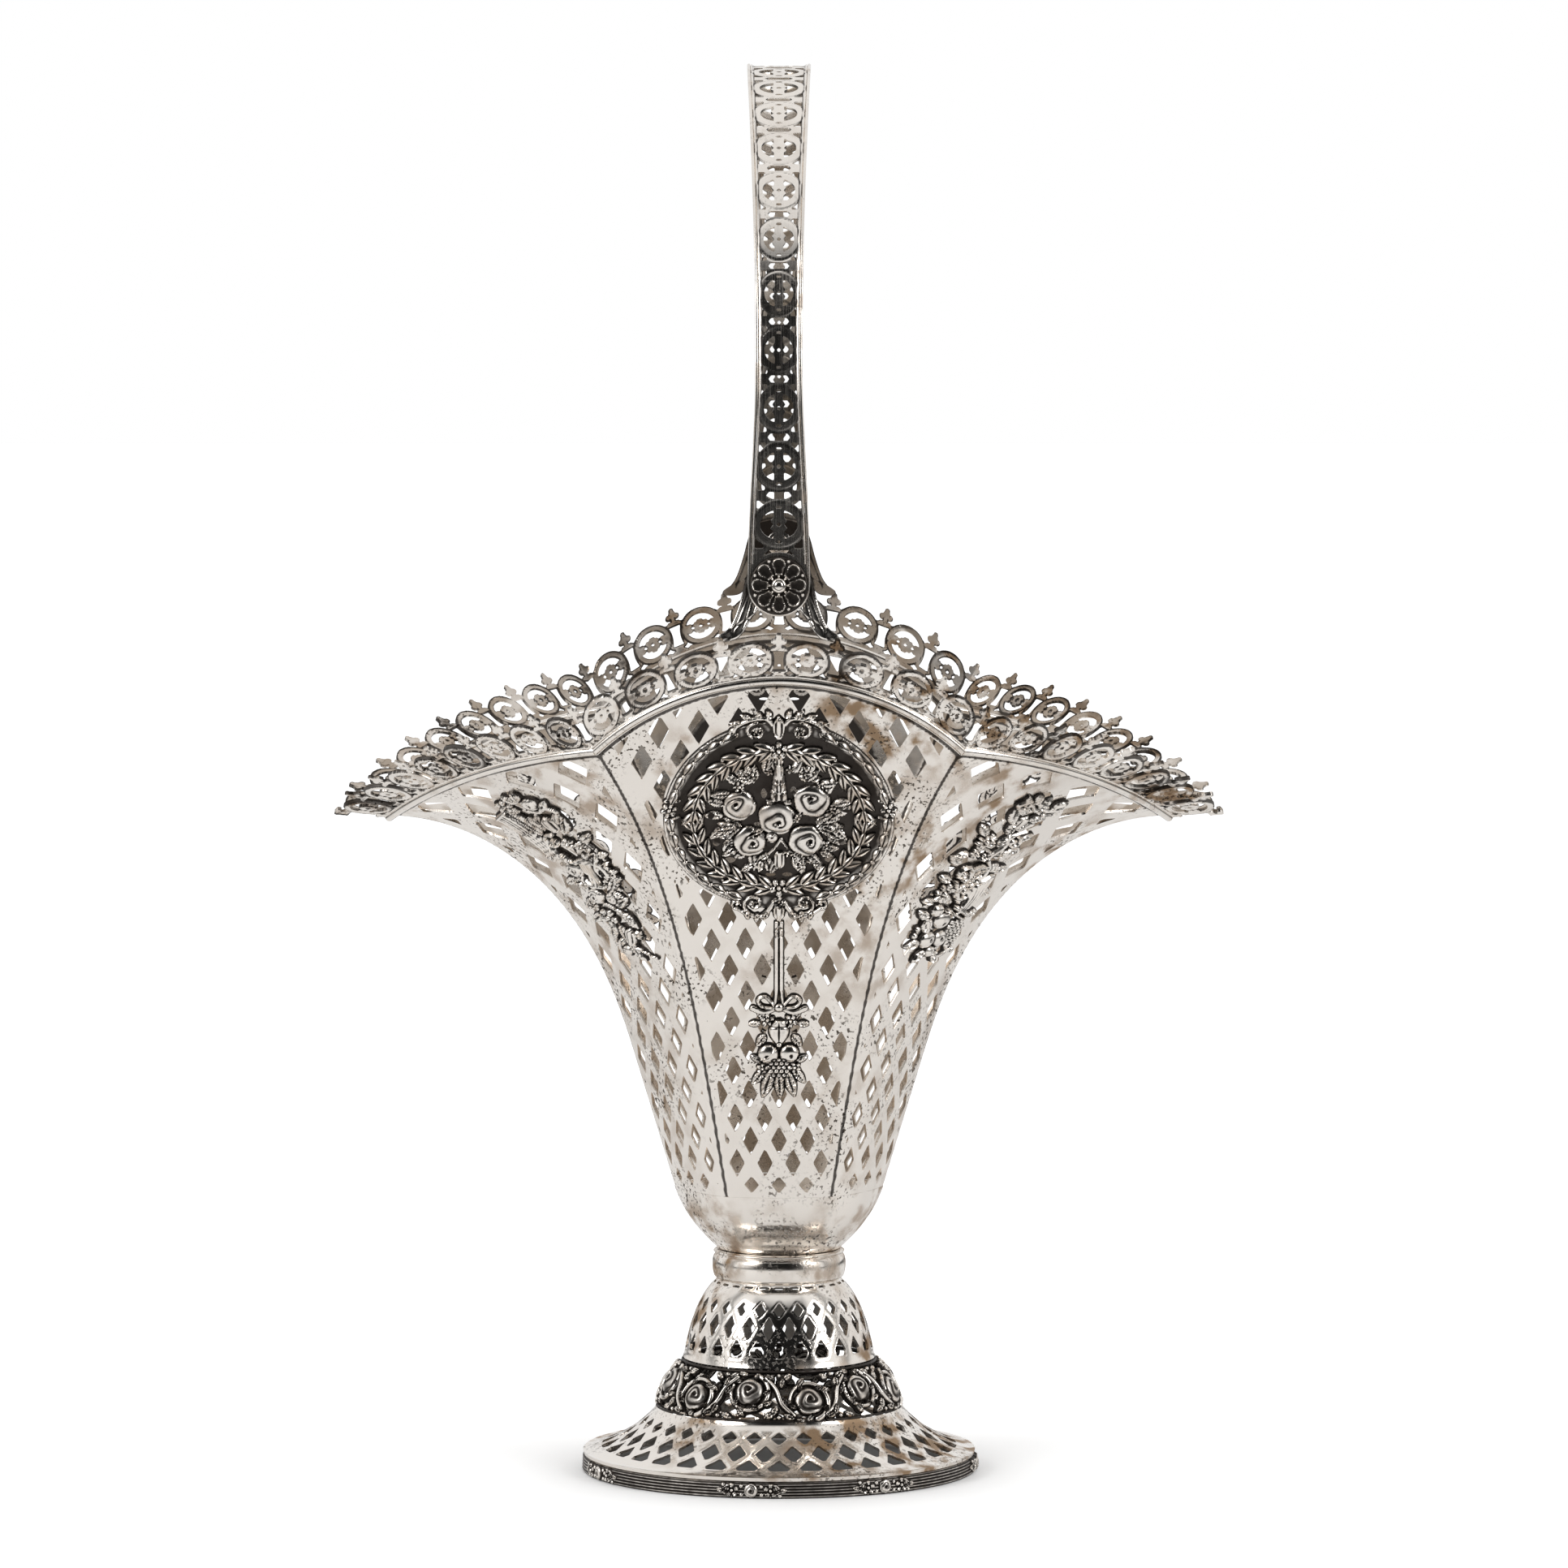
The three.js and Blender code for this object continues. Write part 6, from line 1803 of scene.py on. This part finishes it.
def wreath_rows(flip):
    """Stamp, ellipse, start, end, count, turn, size, unevenness and lift of each row."""
    rows = [(HUSK, HUSK_CHAIN, 63, 14, 6, 0.0, 1.0, 0.0, 0.45),
            (HUSK, HUSK_CHAIN, -4, -66, 7, 0.0, 1.0, 0.0, 0.45),
            (BERRY, HUSK_CHAIN, 58.2, 18.8, 5, math.pi / 2, 1.0, 0.0, 0.75),
            (BERRY, HUSK_CHAIN, -9, -61, 6, math.pi / 2, 1.0, 0.0, 0.75)]
    for wide, tall, start, end, lean, size, lift in (
            (28.6, 26.4, 80, 2, 0.55, 1.0, 0.45), (24.9, 22.8, 80, 2, -0.55, 1.0, 0.45),
            (26.9, 24.7, 78, 4, 0.0, 0.85, 0.8)):
        rows += [(WREATH_LEAF, (wide, tall, -0.2), up * start, up * end, 8, up * flip * lean,
                  size, 0.1, lift) for up in (1, -1)]
    return rows + [(BERRY, (29.3, 27.1, -0.2), 70, -70, 9, 0.0, 0.8, 0.15, 0.25)]


def roundel_parts():
    parts = [flat_part(roundel_plate())]
    for flip in (1, -1):
        for stamp, (wide, tall, middle), start, end, count, *rest in wreath_rows(flip):
            ends = (start, end) if flip > 0 else (180 - start, 180 - end)
            angles = np.radians(np.linspace(*ends, 40))
            line = np.stack([wide * np.cos(angles), middle + tall * np.sin(angles)], -1)
            parts.append(scatter(stamp, line, count, *rest))
    for low, high, y, turn in ((20.5, 28.5, 24.4, 90), (-29.3, -21.0, -25.0, -90)):
        crown = Plate(4.0, low, high, 0.37, 0.2)
        crown.press(0, y, flower(3.1, 2.1), turn)
        parts.append(flat_part(crown))
    return parts


roundel = roundel_parts()
for k, end in ((0, "front"), (3, "back")):
    count = bend_parts("wreath_roundel_" + end, k, roundel, ROUNDEL_CENTRE, "roundel_" + end)
print("roundel triangles:", count)

# %% [markdown]
# ### Pendant
# From the top: a reeded stem, a knotted ribbon, an acorn between florets, two fruits, a bunch of
# grapes and a fan of leaves.

# %% Pendant
# Half width, lower end, upper end, grid step and ground of the flat relief.
PENDANT_PLATE = (9.6, 33.6, 94.4, 0.33, 0.3)
# Place, length, width, height and turn of the leaves that hang lowest.
LEAF_TIPS = ((-2.2, 44.0, 10.4, 2.0, 1.3, -107), (2.4, 43.6, 9.6, 1.9, 1.3, -74),
             (-4.6, 43.6, 6.4, 1.5, 1.2, -130), (4.6, 44.0, 6.2, 1.5, 1.2, -52),
             (0.0, 43.0, 9.0, 1.7, 1.6, -88))


def acorn(length, width, tall):
    """A long nut with a seam along it and the edge of its cap across it."""
    def shape(p, q):
        t = np.clip(p / length, 0, 1)
        half = width * np.sin(math.pi * (0.08 + 0.88 * t)) ** 0.75
        body = np.sqrt(np.clip(1 - (q / (half + 1e-3)) ** 2, 0, 1))
        return (tall * body - 0.6 * ridge(q, 0.3) - 0.4 * ridge(p - 2.2, 0.3),
                within_length(p, length, half - np.abs(q)))
    return shape


def pendant_plate():
    plate = Plate(*PENDANT_PLATE)
    for offset in (-0.75, 0.75):
        plate.trace([(offset, 93.9), (offset, 71.0), (offset * 1.7, 65.6)], 0.62, 1.0,
                    margin=0.35)
    plate.press(0, 88.5, leaf(4.4, 1.5, 1.2), 90)
    for side in (1, -1):
        plate.press(side * 2.6, 60.0, leaf(5.4, 1.3, 1.0), 90 - side * 55)
        plate.press(side * 4.2, 55.8, leaf(5.2, 1.5, 1.1), -90 + side * 35)
        plate.press(side * 5.8, 59.6, leaf(4.2, 1.2, 1.1), 90 - side * 95)
        plate.trace(bow((side * 1, 65), (side * 4.2, 68.6), (side * 6.6, 67.4), (side * 5.2, 65.2),
                        (side * 1, 64.7)), 0.62, 1.4)
        plate.trace(bow((side * 1.2, 64.4), (side * 4.6, 63.2), (side * 8.2, 64.6)),
                    (0.7, 0.95), 1.0, flat=0.6)
        plate.press(side * 5.4, 46.6, leaf(4.4, 1.2, 1.0), 90 - side * 60)
    for x, y, length, width, tall, turn in LEAF_TIPS:
        plate.press(x, y, leaf(length, width, tall), turn)
    plate.press(0, 64.9, bead(1.6, 1.9))
    plate.press(-3.6, 60.6, flower(2.4, 1.7, 5), 20)
    plate.press(3.6, 60.3, flower(2.4, 1.7, 5), 50)
    plate.press(0, 60.8, acorn(8.4, 3.3, 2.2), -90)
    plate.press(-3.3, 49.2, fruit(3.4, 2.3), 60)
    plate.press(3.2, 49.4, fruit(3.2, 2.3), 140)
    plate.trace(bow((-5.6, 47.6), (-3.2, 48.6), (-1.2, 51.2)), 0.4, 2.3)
    plate.press(0, 52.5, bead(1.1, 2.0))
    plate.grapes(0, 47.2, [3, 4, 5, 4, 3], 0.86)
    plate.press(-5.2, 44.2, flower(2.0, 1.5), 10)
    plate.press(5.0, 44.6, flower(2.0, 1.5), 40)
    return plate


pendant = [flat_part(pendant_plate())]
for k, end in ((0, "front"), (3, "back")):
    count = bend_parts("fruit_pendant_" + end, k, pendant, 0.0, "pendant_" + end)
print("pendant triangles:", count)

# %% [markdown]
# ### Trophies
# Two different bunches on the side panels: one is built round a lyre and a torch, the other
# round a horn of plenty. They follow the panel's middle, which bends outward, so they are long
# and narrow.

# %% Trophies
# The trophies are drawn narrow and widened by this when they are bent.
TROPHY_WIDEN = 1.35


def leafy_plate(leaves):
    """The flat relief of one trophy with its bed of small leaves."""
    plate = Plate(wide=14.6, low=-1.0, high=71.2, step=0.4, ground=0.3)
    for x, y, angle, size in leaves:
        plate.press(x, y, leaf(size, 1.1 + size * 0.09, 1.5), angle)
    return plate


def lyre_trophy():
    plate = leafy_plate(((0, 66, 120, 6), (1, 67, 85, 5), (-3, 62, 150, 7), (4, 61, 40, 6),
                         (-4, 50, 106, 15), (-2, 52, 70, 9), (5, 50, 60, 8), (8, 46, 30, 6),
                         (-6, 45, 160, 6), (9, 40, 10, 5), (4, 38, 30, 7), (9, 33, 330, 5),
                         (7, 26, 300, 6), (-6, 30, 190, 6), (-5, 22, 215, 6), (6, 18, 300, 7),
                         (5, 20, 30, 7), (-1, 14, 250, 9), (2, 13, 280, 8), (-4, 16, 200, 7),
                         (3, 7, 300, 8), (0, 8, 250, 7), (-8, 44, 120, 6), (-9, 57, 140, 6)))
    plate.trace([(-1, 21), (6.6, 16.8)], 0.6, 1.2)
    plate.trace(bow((0, 62), (3, 60.5), (6, 62), (8.5, 59.5), (6, 57.5)), 0.8, 1.3, flat=0.4)
    plate.trace(bow((8, 48), (10.5, 43), (11.5, 38)), (0.6, 0.4), 1.2)
    plate.trace(bow((4, 40), (10.5, 35), (9.5, 29), (5, 25)), (0.8, 0.5), 1.5)
    for t in (41, 38.5, 36, 33.5, 31, 28.5):
        plate.press(9.8 - abs(t - 34) * 0.35, t, leaf(3.8, 1.0, 1.5), 10 + (t - 34) * 9)
    for offset in (-1.8, -0.6, 0.6, 1.8):
        plate.trace([(-11 + offset * 0.9, 62 + offset * 0.4), (-6.6 + offset, 40 + offset * 0.3)],
                    (0.75, 0.5), 1.9)
    plate.trace([(-10, 41), (-8, 39.2), (-6, 41.2), (-4, 39.4)], 0.75, 2.2)
    plate.trace([(-13, 61.5), (-8.4, 63.5)], 0.8, 2.1)
    plate.trace([(-10.8, 52.0), (-6.4, 53.0)], 0.5, 2.3)
    plate.trace(arc(3, 33, 6.2, 0, 360, 30, 0.88), 0.95, 1.9)
    plate.trace(bow((-4, 39.5), (-1.5, 36), (-2.2, 31), (0.5, 27.5)), 0.9, 2.2)
    plate.trace(bow((8.5, 38.5), (6.4, 35), (7.6, 31), (4.8, 27.6)), 0.8, 2.2)
    for offset in (-1.8, -0.9, 0, 0.9, 1.8):
        plate.trace([(2.2 + offset, 37.5), (2.4 + offset * 0.7, 28.0)], 0.27, 1.7)
    plate.trace([(-1.8, 38.2), (6.6, 37.4)], 0.6, 2.3)
    plate.scroll(-2.6, 47.0, 60, 1.2, 2.8, 0.7, 1.9)
    plate.scroll(-4.4, 39.0, 200, -1.1, 2.0, 0.6, 1.9)
    for x, y, radius, petals in ((-6, 66, 3.0, 5), (2, 45.4, 2.5, 5), (6.2, 44, 2.2, 5),
                                 (8.2, 29.4, 2.9, 6), (-4.6, 28.6, 2.7, 9), (-1.6, 15.2, 3.5, 5),
                                 (-5.5, 19.5, 2.0, 5), (8.6, 9.8, 1.8, 5), (6.5, 56.5, 2.0, 5)):
        plate.press(x, y, flower(radius, 2.0, petals), x * 13)
    for x, y, length, width, tall, turn in ((3, 51.6, 6.6, 3.0, 2.2, 95),
                                            (-1.4, 54.4, 4.8, 1.7, 1.8, 110),
                                            (6.2, 55, 4.8, 1.7, 1.8, 65)):
        plate.press(x, y, bud(length, width, tall), turn)
    plate.press(3.0, 64.6, rose(2.8, 2.1, turns=2.2), 30)
    for x, y, radius, tall, turn in ((-3.4, 34.4, 3.3, 2.5, 70), (-1.6, 23.6, 3.1, 2.4, 10),
                                     (4.6, 23.0, 2.2, 2.0, 200)):
        plate.press(x, y, rose(radius, tall), turn)
    plate.press(4.2, 6.0, bud(6.4, 2.2, 2.0), 75)
    plate.trace(bow((4, 6), (7.5, 3.8), (12, 2)), (0.6, 0.4), 1.1)
    plate.press(0.5, 3.5, fruit(2.0, 1.7))
    return plate


def horn_trophy():
    plate = leafy_plate(((-3, 4, 230, 6), (2, 3, 290, 6), (6, 5, 330, 6), (-7, 7, 190, 6),
                         (10, 16, 20, 4), (-8, 16, 150, 6), (-9, 22, 170, 5), (10, 25, 0, 4),
                         (-7, 30, 160, 6), (9, 34, 20, 5), (-8, 37, 150, 6), (-7, 41, 190, 5),
                         (7, 42, 20, 6), (-6, 49, 140, 7), (8, 48, 40, 5), (1, 50, 95, 8),
                         (3, 52, 60, 8), (-1, 55, 120, 8), (4, 57, 40, 6), (0, 60, 150, 6),
                         (2, 63, 90, 7), (6, 63, 50, 6), (-2, 63, 120, 6), (2, 44, 80, 7)))
    plate.trace(bow((-4.4, 44), (-1, 42.6), (3, 40.6)), 0.6, 1.2)
    plate.trace(bow((1, 2), (4, 0.6), (7.4, 2.4), (6.4, 4.6)), (0.6, 0.9), 1.4)
    for offset in range(4):
        plate.trace(bow((3.4 + offset * 1.25, 17.5 + offset * 0.5),
                        (5.4 + offset * 1.3, 23), (5.2 + offset * 1.5, 28 + offset * 0.5),
                        (8.2 + offset * 0.6, 32)), (0.85, 0.5), 2.1 - 0.1 * offset)
    plate.trace([(2, 19.2), (8.8, 16.2)], 0.95, 2.5)
    plate.trace([(1.6, 17.2), (8.6, 14.4)], 0.6, 2.2)
    for x, y, size, turn in ((-4.2, 7.6, 3.1, 230), (1.2, 7.4, 3.1, 280), (-1.2, 3.4, 2.2, 250),
                             (-1.2, 14.6, 3.4, 100), (-5.6, 18.6, 2.4, 140)):
        plate.press(x, y, fruit(size, 2.4), turn)
    for angle in (60, 90, 120):
        plate.press(-1.2, 17.4, leaf(2.4, 0.7, 2.4), angle)
    plate.grapes(6.6, 13.4, [3, 4, 5, 4, 4, 3, 2], 0.95, 12)
    plate.press(-6.4, 11.0, bud(5.4, 2.0, 2.0), 110)
    for x, y, radius, tall in ((-9.4, 7.6, 1.1, 1.6), (-10.4, 9.8, 1.1, 1.6),
                               (-10.2, 12.2, 1.0, 1.5)):
        plate.press(x, y, bead(radius, tall))
    plate.press(-6.8, 25.2, flower(3.7, 2.3, 7), 20)
    plate.scroll(-3.8, 33.0, 300, 1.3, 3.0, 0.75, 2.2)
    plate.scroll(1.0, 25.4, 120, 1.3, 3.0, 0.75, 2.2)
    plate.trace([(-4.8, 29.6), (0.8, 21.6)], 0.7, 2.3)
    plate.trace(bow((-1.4, 34.4), (2.2, 35.8), (5.8, 34.8)), 0.7, 2.2)
    plate.trace(bow((2.8, 27.4), (4.4, 31), (5.4, 35.6)), 0.7, 2.2)
    for offset in (0, 1.1, 2.2):
        plate.trace([(-1.6 + offset, 25.8 + offset * 0.9), (2.4 + offset, 34.4 + offset * 0.3)],
                    0.27, 1.8)
    plate.press(3.6, 29.6, flower(2.6, 2.5, 8))
    plate.press(7.4, 35.2, rose(2.1, 2.1))
    plate.trace(bow((5, 36), (2.0, 40), (4.4, 45), (3.4, 49), (7, 53)), (0.95, 0.5), 1.8)
    plate.press(-4.2, 46.4, flower(3.5, 2.4, 9))
    plate.press(-4.4, 41.4, flower(2.4, 2.0, 6), 20)
    plate.scroll(6.6, 47, 90, -1.2, 2.2, 0.6, 1.9)
    plate.press(5.8, 41, flower(2.4, 2.0), 30)
    plate.press(0.8, 39.4, flower(2.0, 1.9))
    plate.trace(bow((1, 63), (-3.4, 66), (-5.4, 63.4), (-2.6, 61.4)), 0.7, 1.6)
    plate.trace(bow((5, 63), (8.6, 65), (9.4, 62.2), (6.4, 61)), 0.7, 1.6)
    plate.press(3.2, 63.6, flower(2.6, 2.1))
    for x, y, length, width, tall, turn in ((1.6, 53.6, 5.6, 1.9, 1.9, 85),
                                            (6.4, 65.6, 4.8, 1.5, 1.6, 60),
                                            (-0.6, 66, 4.4, 1.4, 1.6, 115)):
        plate.press(x, y, bud(length, width, tall), turn)
    return plate


lyre, horn = [flat_part(lyre_trophy())], [flat_part(horn_trophy())]
for k, panel_name in enumerate(PANEL_NAMES):
    if not is_front(k):
        shape, kind = (lyre, "lyre_trophy_") if TIP_SIDE[k] < 0 else (horn, "horn_trophy_")
        count = bend_parts(kind + panel_name, k, shape, TROPHY_LOW, "trophy_" + panel_name,
                           TROPHY_WIDEN)
for stamp in (HUSK, WREATH_LEAF, BERRY):
    discard(stamp)
print("trophy triangles:", count)
